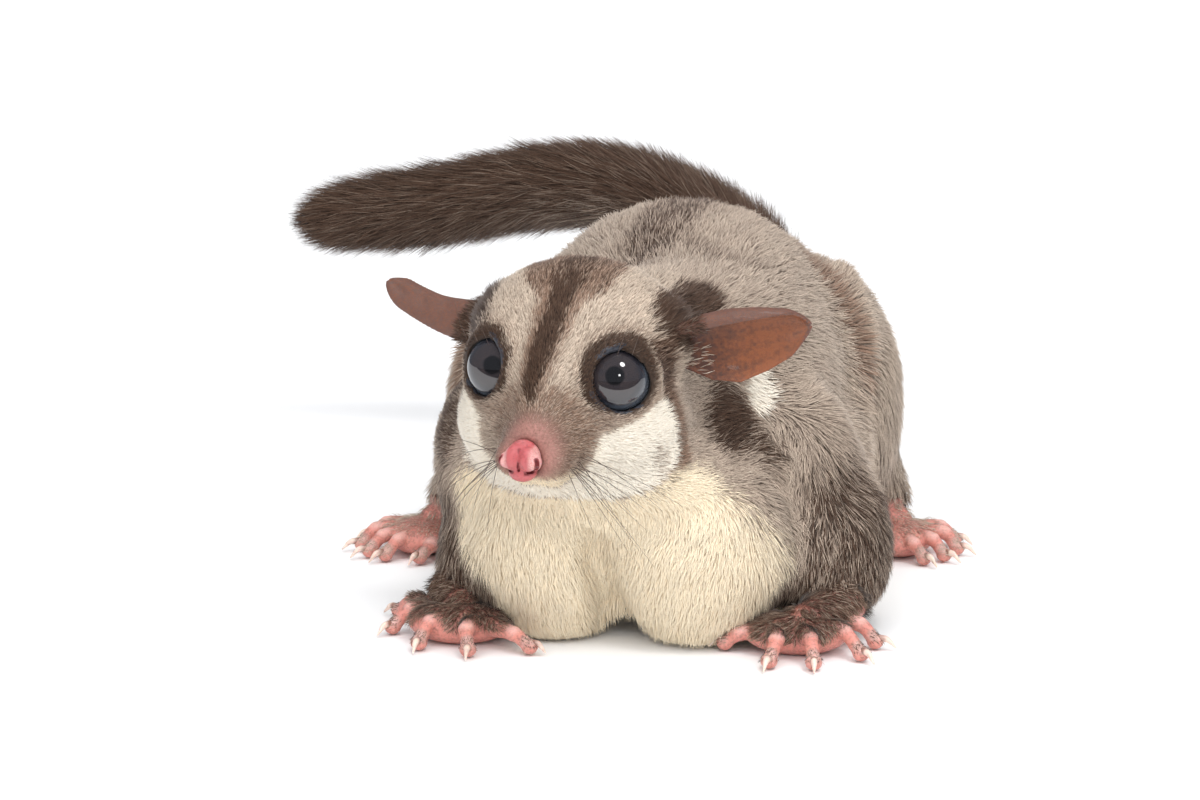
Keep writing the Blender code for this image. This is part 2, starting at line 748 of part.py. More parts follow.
def add_limbs(parts, body):
    """Parts folds, legs and feet off the body and returns the rest."""
    for side in ("left", "right"):
        path = hugging(PLEATS[side], body, FOLD_IN_SPLIT)
        fold, body = part_off(body, pleat(path, FOLD_RADIUS), pleat(path, FOLD_RADIUS + GAP))
        parts["patagium_" + side] = (fold, "fur_dark")
    for side in ("left", "right"):
        for kind, specs in (("fore", FOREFEET), ("hind", HINDFEET)):
            paw = foot(specs[side])
            parts[kind + "foot_" + side] = (paw, "skin_pink")
            body = carved(body, foot_space(side, kind, 0), "DIFFERENCE")
            body = carved(body, swollen(paw, GAP), "DIFFERENCE")
        path, radii = ARM_SPACES[side]
        near, wide = limb(path, radii, 2, 2), limb(path, grown(radii, GAP), 2, 2)
        parts["foreleg_" + side], body = part_off(body, near, wide)
        centre, radii = LEG_SPACES[side]
        near, wide = ball(centre, radii, fine=16), ball(centre, grown(radii, GAP), fine=16)
        parts["hindleg_" + side], body = part_off(body, near, wide)
    for name in ("foreleg_left", "foreleg_right", "hindleg_left", "hindleg_right"):
        parts[name] = (parts[name], "fur_dark")
    return body


def add_face(parts, head, frame):
    """Sets eyes, nose and ears into the head and returns it."""
    for side, sign in (("left", 1), ("right", -1)):
        centre = (sign * EYE_APART, 0, EYE_HEIGHT)
        socket = ball(centre, (EYE_RADIUS + GAP,) * 3, fine=16)
        head = carved(head, placed(socket, frame), "DIFFERENCE")
        eye = placed(ball(centre, (EYE_RADIUS,) * 3, fine=16), frame)
        parts["eye_" + side] = (eye, "eye_black")
    for groove in mouth_line():
        head = carved(head, placed(groove, frame), "DIFFERENCE")
    nose = placed(nose_pad(), frame)
    head = carved(head, swollen(nose, GAP), "DIFFERENCE")
    parts["nose"] = (nose, "nose_pink")
    for side in ("left", "right"):
        leaf = carved(placed(ear(side), frame), swollen(head, GAP), "DIFFERENCE")
        parts["ear_" + side] = (leaf, "skin_ear")
    return head


def build():
    """Makes every part and returns {name: (mesh, material name)}."""
    frame = head_matrix()
    core = [placed(mesh, frame) for mesh in head_core()]
    legs, fore = thighs(), arms()
    body = fuse(core + trunk() + legs["left"] + legs["right"] + fore["left"] + fore["right"], BODY_VOXEL, 24)
    ridges = [pleat(hugging(PLEATS[side], body, FOLD_IN_BODY), FOLD_RADIUS) for side in ("left", "right")]
    body = fuse([body, *ridges], BODY_VOXEL, 6)

    parts = {}
    lids = [placed(mesh, frame) for mesh in both(lid_ring())]
    brows = [placed(mesh, frame) for mesh in both(ball((8.8, 1.2, 1.0), (7.4, 5.2, 7.2)))]
    near = carved(body.copy(), box((-60, -60, -5), (60, 45, 90)), "INTERSECT")
    head = fuse([near] + core + brows, HEAD_VOXEL, 14)
    head = fuse([head] + lids, HEAD_VOXEL, 2)
    head = thinned(head, HEAD_TRIANGLES)
    head_near = placed(box((-60, -60, HEAD_BELOW), (60, HEAD_BEHIND, 60)), frame)
    head = carved(head, head_near, "INTERSECT")
    parts["head"] = (add_face(parts, head, frame), "fur_grey")

    body = on_floor(thinned(body, BODY_TRIANGLES))
    add_tail(parts, body)
    head_wide = placed(box((-60, -60, HEAD_BELOW - GAP), (60, HEAD_BEHIND + GAP, 60)), frame)
    body = carved(body, head_wide, "DIFFERENCE")
    neck_near = placed(box((-60, -20, NECK_BELOW), (60, NECK_BEHIND, 60)), frame)
    neck_wide = placed(box((-60, -20, NECK_BELOW - GAP), (60, NECK_BEHIND + GAP, 60)), frame)
    neck, body = part_off(body, neck_near, neck_wide)
    parts["neck"] = (neck, "fur_grey")
    parts["torso"] = (add_limbs(parts, body), "fur_grey")
    return parts


def centred(parts):
    """Moves all meshes so that the origin is the middle of the model's footprint."""
    points = np.array([vert.co for mesh, _ in parts.values() for vert in mesh.vertices])
    middle = (points.min(axis=0) + points.max(axis=0)) / 2
    for mesh, _ in parts.values():
        mesh.transform(Matrix.Translation((-middle[0], -middle[1], 0)))


def main():
    """Builds the model and lays it out as named objects."""
    clear_scene()
    model = bpy.data.collections.new("sugar_glider")
    bpy.context.scene.collection.children.link(model)
    paints = {
        "fur_grey": make_material("fur_grey", FUR_GREY, 0.9),
        "fur_dark": make_material("fur_dark", FUR_DARK, 0.9),
        "skin_pink": make_material("skin_pink", SKIN_PINK, 0.6),
        "skin_ear": make_material("skin_ear", SKIN_EAR, 0.6),
        "nose_pink": make_material("nose_pink", NOSE_PINK, 0.45),
        "eye_black": make_material("eye_black", EYE_BLACK, 0.05),
    }
    parts = build()
    centred(parts)
    for name, (mesh, paint) in parts.items():
        mesh.materials.clear()
        mesh.materials.append(paints[paint])
        make_object(name, mesh, model)


main()
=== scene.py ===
"""A life-size sugar glider crouched on all fours: skin, fur, eyes, ears, nose and paws over its solids."""

import logging
import math
from dataclasses import dataclass, field
from enum import Enum

import bmesh
import bpy
import numpy as np
from mathutils import Euler, Matrix, Vector
from mathutils.bvhtree import BVHTree
from mathutils.kdtree import KDTree


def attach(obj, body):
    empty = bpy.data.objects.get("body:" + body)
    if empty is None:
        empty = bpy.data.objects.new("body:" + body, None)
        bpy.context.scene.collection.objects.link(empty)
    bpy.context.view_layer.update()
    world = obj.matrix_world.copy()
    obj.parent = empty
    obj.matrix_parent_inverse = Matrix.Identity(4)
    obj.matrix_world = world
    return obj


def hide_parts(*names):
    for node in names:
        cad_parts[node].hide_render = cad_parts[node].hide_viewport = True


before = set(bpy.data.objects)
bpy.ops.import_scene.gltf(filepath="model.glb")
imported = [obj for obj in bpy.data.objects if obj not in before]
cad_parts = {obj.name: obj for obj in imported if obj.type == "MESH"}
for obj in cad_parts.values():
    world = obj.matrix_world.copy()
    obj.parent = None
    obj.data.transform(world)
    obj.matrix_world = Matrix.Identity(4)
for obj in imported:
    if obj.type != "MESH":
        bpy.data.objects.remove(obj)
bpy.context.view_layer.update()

LOG = logging.getLogger("glider")
MM = 0.001
SHIFT = np.array((16.42, -83.13, 0.0))
Array = np.ndarray
Row = tuple[float, ...]
Table = tuple[Row, ...]
Socket = bpy.types.NodeSocket
Value = Socket | float
Material = bpy.types.Material


class Slot(str, Enum):
    """The record's material slots."""

    FUR_GREY = "fur_grey"
    FUR_DARK = "fur_dark"
    SKIN_PINK = "skin_pink"
    SKIN_EAR = "skin_ear"
    NOSE_PINK = "nose_pink"
    EYE_BLACK = "eye_black"


class Side(Enum):
    """Left and right of the animal, as a sign along the head's x."""

    LEFT = 1
    RIGHT = -1

    @property
    def word(self) -> str:
        """The side's name as pieces carry it."""
        return self.name.lower()


# Numbers


def unit(vectors: Array) -> Array:
    """Scales vectors to length one.

    Args:
        vectors: Rows of three numbers.

    Returns:
        The rows, each of length one.
    """
    return vectors / np.maximum(np.linalg.norm(vectors, axis=-1, keepdims=True), 1e-9)


def smooth(low: float, high: float, value: Array) -> Array:
    """Rises smoothly from 0 at low to 1 at high.

    Args:
        low: Where the step starts.
        high: Where the step ends.
        value: The numbers to map.

    Returns:
        Numbers between 0 and 1.
    """
    t = np.clip((value - low) / (high - low), 0.0, 1.0)
    return t * t * (3.0 - 2.0 * t)


def ripple(points: Array, size: float, seed: int) -> Array:
    """A soft wandering field made of sines, the same on every run.

    Args:
        points: Places in millimetres.
        size: The width of its patches in millimetres.
        seed: Which of many such fields.

    Returns:
        A number between about -1 and 1 for each place.
    """
    draw = np.random.RandomState(seed)
    total = np.zeros(len(points))
    for _ in range(6):
        way = unit(draw.normal(size=(1, 3)))[0] * draw.uniform(0.7, 1.5)
        total += np.sin(points @ way * 2.0 * math.pi / size + draw.uniform(0, 6.3))
    return total / 3.0


def path_distance(points: Array, knots: Array) -> tuple[Array, Array]:
    """Finds how far each place is from a line through knots.

    Args:
        points: Places in millimetres.
        knots: The line's corners.

    Returns:
        The distance, and how far along the line its nearest place is, counted in knots.
    """
    best = np.full(len(points), 1e9)
    run = np.zeros(len(points))
    for k, (start, end) in enumerate(zip(knots[:-1], knots[1:])):
        edge = end - start
        t = np.clip((points - start) @ edge / (edge @ edge), 0.0, 1.0)
        gap = np.linalg.norm(points - start - t[:, None] * edge, axis=1)
        nearer = gap < best
        best = np.where(nearer, gap, best)
        run = np.where(nearer, k + t, run)
    return best, run


def apart(points: Array, place: Row) -> Array:
    """How far each point is from one place."""
    return np.linalg.norm(points - np.array(place), axis=1)


def flattened(vectors: Array, normals: Array) -> Array:
    """Vectors along a surface: what they have of its normals is taken out."""
    return vectors - normals * np.sum(vectors * normals, axis=1, keepdims=True)


def band(points: Array, knots: Table, soft: float = 0.7) -> Array:
    """A soft band along a line, whose knots end with their half widths.

    Args:
        points: Places in millimetres.
        knots: Corners of the line, each with a half width last.
        soft: How far its border fades, in millimetres.

    Returns:
        1 on the band and 0 off it.
    """
    table = np.array(knots, float)
    gap, run = path_distance(points, table[:, :-1])
    half = np.interp(run, np.arange(len(table)), table[:, -1])
    return 1.0 - smooth(-soft, soft, gap - half)


def patch(points: Array, centre: Row, radii: Row, soft: float = 0.3) -> Array:
    """A soft ellipsoid.

    Args:
        points: Places in millimetres.
        centre: Its middle.
        radii: Its half sizes.
        soft: How much of its radius the border takes.

    Returns:
        1 inside and 0 outside.
    """
    reach = np.linalg.norm((points - np.array(centre)) / np.array(radii), axis=1)
    return 1.0 - smooth(1.0 - soft, 1.0 + soft, reach)


def strongest(points: Array, patches: tuple[tuple, ...]) -> Array:
    """The strongest of several patches, each its centre, its radii, its softness and its share."""
    return np.maximum.reduce([share * patch(points, *shape) for *shape, share in patches])


def outlined(flat: Array, corners: Table, soft: float) -> Array:
    """A soft-edged flat shape.

    Args:
        flat: Places as rows of two numbers.
        corners: The outline.
        soft: How far the border fades.

    Returns:
        1 inside the outline and 0 outside.
    """
    ring = np.array((*corners, corners[0]), float)
    gap, _ = path_distance(flat, ring)
    inside = np.zeros(len(flat), bool)
    for (x0, y0), (x1, y1) in zip(ring[:-1], ring[1:]):
        crosses = (flat[:, 1] < y0) != (flat[:, 1] < y1)
        x = x0 + (flat[:, 1] - y0) * (x1 - x0) / ((y1 - y0) or 1e-9)
        inside ^= crosses & (flat[:, 0] < x)
    return smooth(-soft, soft, np.where(inside, gap, -gap))


# Meshes


def mesh_from(name: str, points: Array, faces: Array) -> bpy.types.Mesh:
    """Makes a mesh from arrays.

    Args:
        name: The mesh's name.
        points: Places in millimetres.
        faces: Rows of point numbers, all of one length.

    Returns:
        The mesh, in metres.
    """
    mesh = bpy.data.meshes.new(name)
    count, corners = faces.shape
    mesh.vertices.add(len(points))
    mesh.vertices.foreach_set("co", (points * MM).astype(np.float32).ravel())
    mesh.loops.add(count * corners)
    mesh.loops.foreach_set("vertex_index", faces.astype(np.int32).ravel())
    mesh.polygons.add(count)
    mesh.polygons.foreach_set("loop_start", np.arange(0, count * corners, corners, dtype=np.int32))
    mesh.update(calc_edges=True)
    return mesh


def shown(name: str, mesh: bpy.types.Mesh, is_smooth: bool = True) -> bpy.types.Object:
    """Puts a mesh into the scene as an object.

    Args:
        name: The piece's name.
        mesh: Its mesh.
        is_smooth: Whether its faces are shaded smoothly.

    Returns:
        The object.
    """
    mesh.polygons.foreach_set("use_smooth", np.full(len(mesh.polygons), is_smooth))
    piece = bpy.data.objects.new(name, mesh)
    bpy.context.scene.collection.objects.link(piece)
    return piece


def freed(form: bmesh.types.BMesh, name: str) -> bpy.types.Mesh:
    """Turns a form into a mesh and lets the form go.

    Args:
        form: The form in metres.
        name: The mesh's name.

    Returns:
        The mesh.
    """
    mesh = bpy.data.meshes.new(name)
    form.to_mesh(mesh)
    form.free()
    return mesh


def moved(mesh: bpy.types.Mesh, points: Array) -> None:
    """Moves a mesh's points to places in millimetres."""
    mesh.vertices.foreach_set("co", (points * MM).astype(np.float32).ravel())
    mesh.update()


def rows_of(mesh: bpy.types.Mesh, name: str) -> Array:
    """Reads three numbers from each of a mesh's points.

    Args:
        mesh: The mesh.
        name: Which of the point's numbers.

    Returns:
        One row a point.
    """
    flat = np.empty(len(mesh.vertices) * 3, np.float32)
    mesh.vertices.foreach_get(name, flat)
    return flat.reshape(-1, 3).astype(float)


def points_of(mesh: bpy.types.Mesh) -> Array:
    """The mesh's points in millimetres."""
    return rows_of(mesh, "co") / MM


def normals_of(mesh: bpy.types.Mesh) -> Array:
    """The way the surface faces at each point."""
    return unit(rows_of(mesh, "normal"))


def settled(piece: bpy.types.Object) -> bpy.types.Mesh:
    """Applies an object's modifiers and removes the object.

    Args:
        piece: An object that was only a step on the way.

    Returns:
        Its finished mesh.
    """
    graph = bpy.context.evaluated_depsgraph_get()
    mesh = bpy.data.meshes.new_from_object(piece.evaluated_get(graph))
    bpy.data.objects.remove(piece)
    return mesh


def fused(meshes: list[bpy.types.Mesh], voxel: float, rounds: int) -> bpy.types.Mesh:
    """Runs closed forms together into one even surface.

    Args:
        meshes: The forms, in metres.
        voxel: The size of the new faces in millimetres.
        rounds: How often the surface is smoothed.

    Returns:
        One closed mesh.
    """
    form = bmesh.new()
    for mesh in meshes:
        form.from_mesh(mesh)
    piece = shown("fused", freed(form, "fused"))
    remesh = piece.modifiers.new("Remesh", "REMESH")
    remesh.mode = "VOXEL"
    remesh.voxel_size = voxel * MM
    even = piece.modifiers.new("Smooth", "SMOOTH")
    even.factor = 0.5
    even.iterations = rounds
    return settled(piece)


def ball(centre: Row, radii: Row, turn: float = 0.0, fine: int = 32) -> bpy.types.Mesh:
    """An ellipsoid.

    Args:
        centre: Its middle in millimetres.
        radii: Its half sizes in millimetres.
        turn: Its turn about Z in degrees.
        fine: Its faces around.

    Returns:
        A closed mesh in metres.
    """
    form = bmesh.new()
    bmesh.ops.create_uvsphere(form, u_segments=fine, v_segments=fine // 2, radius=MM)
    spin = Euler((0, 0, math.radians(turn))).to_matrix().to_4x4()
    place = Matrix.Translation(Vector(centre) * MM) @ spin @ Matrix.Diagonal((*radii, 1.0))
    bmesh.ops.transform(form, matrix=place, verts=form.verts)
    return freed(form, "ball")


def spun_path(knots: Array, steps: int) -> Array:
    """A smooth line through knots, whose columns may hold more than places.

    Args:
        knots: The knots, one a row.
        steps: The number of rows wanted.

    Returns:
        Rows along the smooth line.
    """
    knots = np.array(knots, float)
    padded = np.vstack([2 * knots[0] - knots[1], knots, 2 * knots[-1] - knots[-2]])
    rows = []
    for t in np.linspace(0, len(knots) - 1 - 1e-6, steps):
        k, u = int(t), t - int(t)
        a, b, c, d = padded[k : k + 4]
        bend, twist = 2 * a - 5 * b + 4 * c - d, 3 * b - a - 3 * c + d
        rows.append(0.5 * (2 * b + (c - a) * u + bend * u**2 + twist * u**3))
    return np.array(rows)


def rod(knots: Array, steps: int = 16, around: int = 12, pointed: bool = False) -> bpy.types.Mesh:
    """A round rod along a smooth line with closed ends.

    Args:
        knots: Rows of place and radius in millimetres.
        steps: Rings along it.
        around: Corners of a ring.
        pointed: Whether the last ring closes in one point.

    Returns:
        A closed mesh in metres.
    """
    rows = spun_path(np.array(knots, float), steps)
    places, radii = rows[:, :3], np.maximum(rows[:, 3], 0.01)
    ways = unit(np.gradient(places, axis=0))
    side = unit(np.cross(ways, (0.05, 0.1, 1.0)))
    up = np.cross(side, ways)
    angles = np.linspace(0, 2 * math.pi, around, endpoint=False)
    turned_side, turned_up = np.cos(angles)[None, :, None], np.sin(angles)[None, :, None]
    ring = turned_side * side[:, None] + turned_up * up[:, None]
    points = (places[:, None] + ring * radii[:, None, None]).reshape(-1, 3)
    form = bmesh.new()
    verts = [form.verts.new(point * MM) for point in points]
    for i in range(steps - 1):
        for j in range(around):
            a, b = i * around + j, i * around + (j + 1) % around
            form.faces.new((verts[a], verts[b], verts[b + around], verts[a + around]))
    form.faces.new(verts[:around][::-1])
    last = verts[-around:]
    if pointed:
        tip = form.verts.new((places[-1] + ways[-1] * radii[-1] * 1.5) * MM)
        for j in range(around):
            form.faces.new((last[j], last[(j + 1) % around], tip))
    else:
        form.faces.new(last)
    bmesh.ops.recalc_face_normals(form, faces=form.faces)
    return freed(form, "rod")


def carved(mesh: bpy.types.Mesh, tool: bpy.types.Mesh) -> bpy.types.Mesh:
    """Cuts one closed mesh out of another.

    Args:
        mesh: What is cut.
        tool: What is taken away.

    Returns:
        The mesh that is left.
    """
    piece, knife = shown("carved", mesh), shown("knife", tool)
    boolean = piece.modifiers.new("Cut", "BOOLEAN")
    boolean.operation = "DIFFERENCE"
    boolean.solver = "EXACT"
    boolean.object = knife
    left = settled(piece)
    bpy.data.objects.remove(knife)
    return left


def paint(mesh: bpy.types.Mesh, name: str, columns: Array) -> None:
    """Gives each point of a mesh up to three numbers that its material reads.

    Args:
        mesh: The mesh.
        name: The attribute's name.
        columns: One row of three numbers a point.
    """
    rows = np.ones((len(columns), 4), np.float32)
    rows[:, :3] = columns
    mesh.attributes.new(name, "FLOAT_COLOR", "POINT").data.foreach_set("color", rows.ravel())


def worn(piece: bpy.types.Object, material: Material, slot: Slot) -> None:
    """Gives a piece its material and lets it ride.

    Args:
        piece: The piece.
        material: Its material.
        slot: The record's slot for it; not used.
    """
    piece.data.materials.append(material)
    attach(piece, "root")


def tinted(
    piece: bpy.types.Object, depth: Array, wear_and_highlight: Array | float, material: Material, slot: Slot
) -> None:
    """Paints a bare piece before it gets its finish.

    Args:
        piece: The piece.
        depth: How deep its colour is at each point, from 0 to 1.
        wear_and_highlight: How pale it is made there: rubbed skin, and on the nose and lids a painted
            highlight.
        material: Its material.
        slot: The record's slot for it.
    """
    rows = np.zeros((len(depth), 3))
    rows[:, 0], rows[:, 1] = depth, wear_and_highlight
    paint(piece.data, "shade", rows)
    worn(piece, material, slot)


# Finishes


class Nodes:
    """The nodes of one material, made a line at a time."""

    def __init__(self, name: str) -> None:
        """Starts a material with its Principled shader.

        Args:
            name: The material's name.
        """
        self.material = bpy.data.materials.new(name)
        self.material.use_nodes = True
        self.tree = self.material.node_tree
        self.shader = self.tree.nodes["Principled BSDF"]

    def add(self, kind: str, links: dict, **settings) -> bpy.types.Node:
        """Adds a node.

        Args:
            kind: The node's type without its prefix.
            links: Its inputs by name or number, each a socket or a value.
            settings: Its own settings.

        Returns:
            The node.
        """
        node = self.tree.nodes.new("ShaderNode" + kind)
        for key, value in settings.items():
            setattr(node, key, value)
        for key, value in links.items():
            if isinstance(value, Socket):
                self.tree.links.new(value, node.inputs[key])
            else:
                node.inputs[key].default_value = value
        return node

    def channels(self, name: str) -> list[Socket]:
        """The three numbers that a mesh carries under a name."""
        source = self.add("Attribute", {}, attribute_name=name)
        return list(self.add("SeparateColor", {0: source.outputs["Color"]}).outputs)

    def blend(self, share: Value, low: Socket | Row, high: Socket | Row, kind: str = "MIX") -> Socket:
        """Mixes two colours.

        Args:
            share: How much of the second, a socket or a number.
            low: The first colour, a socket or three numbers.
            high: The second colour.
            kind: The blend type.

        Returns:
            The mixed colour's socket.
        """
        low, high = (c if isinstance(c, Socket) else (*c, 1.0) for c in (low, high))
        node = self.add("Mix", {0: share, 6: low, 7: high}, data_type="RGBA", blend_type=kind)
        return node.outputs[2]

    def figure(self, kind: str, first: Value, second: Value = 0.5, third: Value = 0.5) -> Socket:
        """Works out a number from others, with its result kept as a socket."""
        return self.add("Math", {0: first, 1: second, 2: third}, operation=kind).outputs[0]

    def span(self, value: Value, low: float, high: float, *to: float) -> Socket:
        """Maps a number from one range to another, which is 0 to 1 unless given, and keeps it inside."""
        links = dict(enumerate((value, low, high, *(to or (0.0, 1.0)))))
        return self.add("MapRange", links, clamp=True).outputs[0]

    def noise(self, scale: float, detail: float = 3.0, rough: float = 0.55) -> Socket:
        """Noise over the object's own space.

        Args:
            scale: Its waves in a metre.
            detail: How many finer waves run over them.
            rough: How strong the finer waves are.

        Returns:
            The noise's socket.
        """
        place = self.add("TexCoord", {}).outputs["Object"]
        node = self.add("TexNoise", {"Vector": place, "Scale": scale, "Detail": detail, "Roughness": rough})
        return node.outputs["Fac"]

    def bump(self, height: Value, strength: float, distance: float) -> None:
        """Raises the surface by a height, with distance in millimetres."""
        links = {"Height": height, "Strength": strength, "Distance": distance * MM}
        self.tree.links.new(self.add("Bump", links).outputs[0], self.shader.inputs["Normal"])

    def finish(self, colour: Socket, roughness: float, **sockets: float) -> Material:
        """Sets the shader.

        Args:
            colour: The colour's socket.
            roughness: Its roughness.
            sockets: Other sockets by name, with _ for a space.

        Returns:
            The material.
        """
        self.tree.links.new(colour, self.shader.inputs["Base Color"])
        self.shader.inputs["Roughness"].default_value = roughness
        for name, value in sockets.items():
            self.shader.inputs[name.replace("_", " ")].default_value = value
        return self.material


@dataclass(frozen=True)
class CoatFinish:
    """Banded hair in the colours that the coat's markings ask for."""

    name: str = "coat"
    grey_root: Row = (0.20, 0.145, 0.112)
    grey_tip: Row = (0.56, 0.445, 0.35)
    pale_root: Row = (0.30, 0.22, 0.165)
    pale_tip: Row = (0.69, 0.565, 0.445)
    dark_root: Row = (0.020, 0.011, 0.007)
    dark_tip: Row = (0.098, 0.054, 0.034)
    cream_root: Row = (0.98, 0.77, 0.51)
    cream_tip: Row = (1.0, 0.875, 0.66)
    white_root: Row = (0.92, 0.80, 0.64)
    white_tip: Row = (1.0, 0.935, 0.81)
    rust_root: Row = (0.10, 0.056, 0.040)
    rust_tip: Row = (0.33, 0.21, 0.145)
    bare: Row = (0.49, 0.235, 0.20)
    bare_deep: Row = (0.32, 0.16, 0.13)
    evenness: float = 0.88
    grain: float = 2600.0
    ripple: float = 3500.0

    def material(self) -> Material:
        """Builds the material, which reads marks, tones and strand from the mesh.

        Returns:
            The material.
        """
        nodes = Nodes(self.name)
        dark, cream, rust = nodes.channels("marks")
        pale, white, bare = nodes.channels("tones")
        along, chance, shade = nodes.channels("strand")
        grain = nodes.noise(self.grain, 2.0)
        uneven = nodes.figure("ADD", along, nodes.span(grain, 0.3, 0.7, -0.15, 0.15))
        up = nodes.span(uneven, 0.05, 0.85)
        colour = nodes.blend(up, self.grey_root, self.grey_tip)
        for share, root, tip in (
            (pale, self.pale_root, self.pale_tip),
            (rust, self.rust_root, self.rust_tip),
            (cream, self.cream_root, self.cream_tip),
            (white, self.white_root, self.white_tip),
            (dark, self.dark_root, self.dark_tip),
        ):
            colour = nodes.blend(share, colour, nodes.blend(up, root, tip))
        skin = nodes.blend(nodes.span(grain, 0.3, 0.7), self.bare, self.bare_deep)
        colour = nodes.blend(bare, colour, skin)
        each = nodes.span(chance, 0.0, 1.0, 0.78, 1.14)
        patchy = nodes.span(shade, 0.0, 1.0, 0.84, 1.12)
        light = nodes.add("CombineColor", {k: nodes.figure("MULTIPLY", each, patchy) for k in range(3)})
        even = nodes.figure("MULTIPLY", nodes.figure("MAXIMUM", cream, white), self.evenness)
        varied = nodes.figure("SUBTRACT", 1.0, even)
        colour = nodes.blend(varied, colour, nodes.blend(1.0, colour, light.outputs[0], "MULTIPLY"))
        nodes.bump(nodes.noise(self.ripple, 2.0), 0.35, 0.08)
        return nodes.finish(colour, 0.62, Sheen_Weight=0.12, Sheen_Roughness=0.4, Specular_IOR_Level=0.25)


@dataclass(frozen=True)
class FleshFinish:
    """Bare skin, mottled and creased."""

    name: str
    # pale and deep are the skin's own tones, and deep is also painted shade in the nose's nostrils and groove
    # and in the ear's hollow; worn is rubbed pale skin, and on the nose and lids a painted highlight.
    pale: Row
    deep: Row
    worn: Row
    roughness: float = 0.42
    grain: float = 900.0
    crease: float = 0.25
    subsurface: float = 0.15
    soft_depth: float = 1.5

    def material(self) -> Material:
        """Builds the material, which reads shade from the mesh: how deep the skin is, which on the nose and
        in the ear's hollow is painted shade, and how pale, which is rubbed skin and on the nose and lids a
        painted highlight.

        Returns:
            The material.
        """
        nodes = Nodes(self.name)
        depth, wear_and_highlight, _ = nodes.channels("shade")
        mottle = nodes.noise(self.grain, 4.0)
        fine = nodes.noise(self.grain * 4.0, 2.0)
        blotched = nodes.figure("ADD", depth, nodes.span(mottle, 0.35, 0.7, -0.3, 0.4))
        colour = nodes.blend(nodes.span(blotched, 0, 1), self.pale, self.deep)
        # Rubbed pale skin, and on the nose and lids a painted highlight.
        rubbed_and_highlit = nodes.figure("MULTIPLY", wear_and_highlight, nodes.span(fine, 0.2, 0.6))
        colour = nodes.blend(rubbed_and_highlit, colour, self.worn)
        nodes.bump(nodes.figure("ADD", mottle, fine), self.crease, 0.25)
        soft = {"Subsurface_Weight": self.subsurface, "Subsurface_Scale": self.soft_depth * MM}
        return nodes.finish(colour, self.roughness, Coat_Weight=0.08, **soft)


@dataclass(frozen=True)
class EyeFinish:
    """A dark wet eye: pupil, brown iris and a blue-grey ring."""

    name: str = "eye"
    pupil: Row = (0.004, 0.004, 0.005)
    iris: Row = (0.046, 0.034, 0.032)
    ring: Row = (0.016, 0.016, 0.022)
    edge: Row = (0.05, 0.06, 0.075)

    def material(self) -> Material:
        """Builds the material, which reads shade from the mesh: how far off the gaze a place is.

        Returns:
            The material.
        """
        nodes = Nodes(self.name)
        off, _, _ = nodes.channels("shade")
        fibres = nodes.noise(1400.0, 4.0)
        iris = nodes.blend(fibres, self.iris, self.ring)
        colour = nodes.blend(nodes.span(off, 0.16, 0.20), self.pupil, iris)
        colour = nodes.blend(nodes.span(off, 0.44, 0.53), colour, self.ring)
        colour = nodes.blend(nodes.span(off, 0.56, 0.68), colour, self.edge)
        return nodes.finish(colour, 0.03, IOR=1.85)


@dataclass(frozen=True)
class PlainFinish:
    """Whisker, floor or card: two tones run together by noise."""

    name: str
    low: Row
    high: Row
    roughness: float
    scale: float

    def material(self) -> Material:
        """Builds the material.

        Returns:
            The material.
        """
        nodes = Nodes(self.name)
        colour = nodes.blend(nodes.span(nodes.noise(self.scale), 0.35, 0.65), self.low, self.high)
        return nodes.finish(colour, self.roughness)


# Frames


@dataclass(frozen=True)
class HeadFrame:
    """The head's own frame: its origin is midway between the eyes, it faces -Y and its left is +X."""

    at: Row = (9.92, -84.03, 45.4)
    yaw: float = -12.1
    pitch: float = 12.0
    roll: float = 2.1

    def matrix(self) -> Matrix:
        """Finds how the head's frame stands in the model.

        Returns:
            The matrix from the head's frame to the model's, in millimetres.
        """
        yaw, pitch, roll = (math.radians(angle) for angle in (self.yaw, self.pitch, self.roll))
        turn = Matrix.Rotation(yaw, 4, "Z") @ Matrix.Rotation(pitch, 4, "X") @ Matrix.Rotation(roll, 4, "Y")
        return Matrix.Translation(self.at) @ turn

    def turn(self) -> Array:
        """The head's rotation."""
        return np.array(self.matrix().to_3x3())

    def local(self, points: Array) -> Array:
        """Places of the model as the head sees them."""
        return (points - np.array(self.at)) @ self.turn()

    def placed(self, mesh: bpy.types.Mesh) -> bpy.types.Mesh:
        """Moves a mesh of the head's frame into the model's."""
        mesh.transform(Matrix.Scale(MM, 4) @ self.matrix() @ Matrix.Scale(1 / MM, 4))
        return mesh


HEAD = HeadFrame()


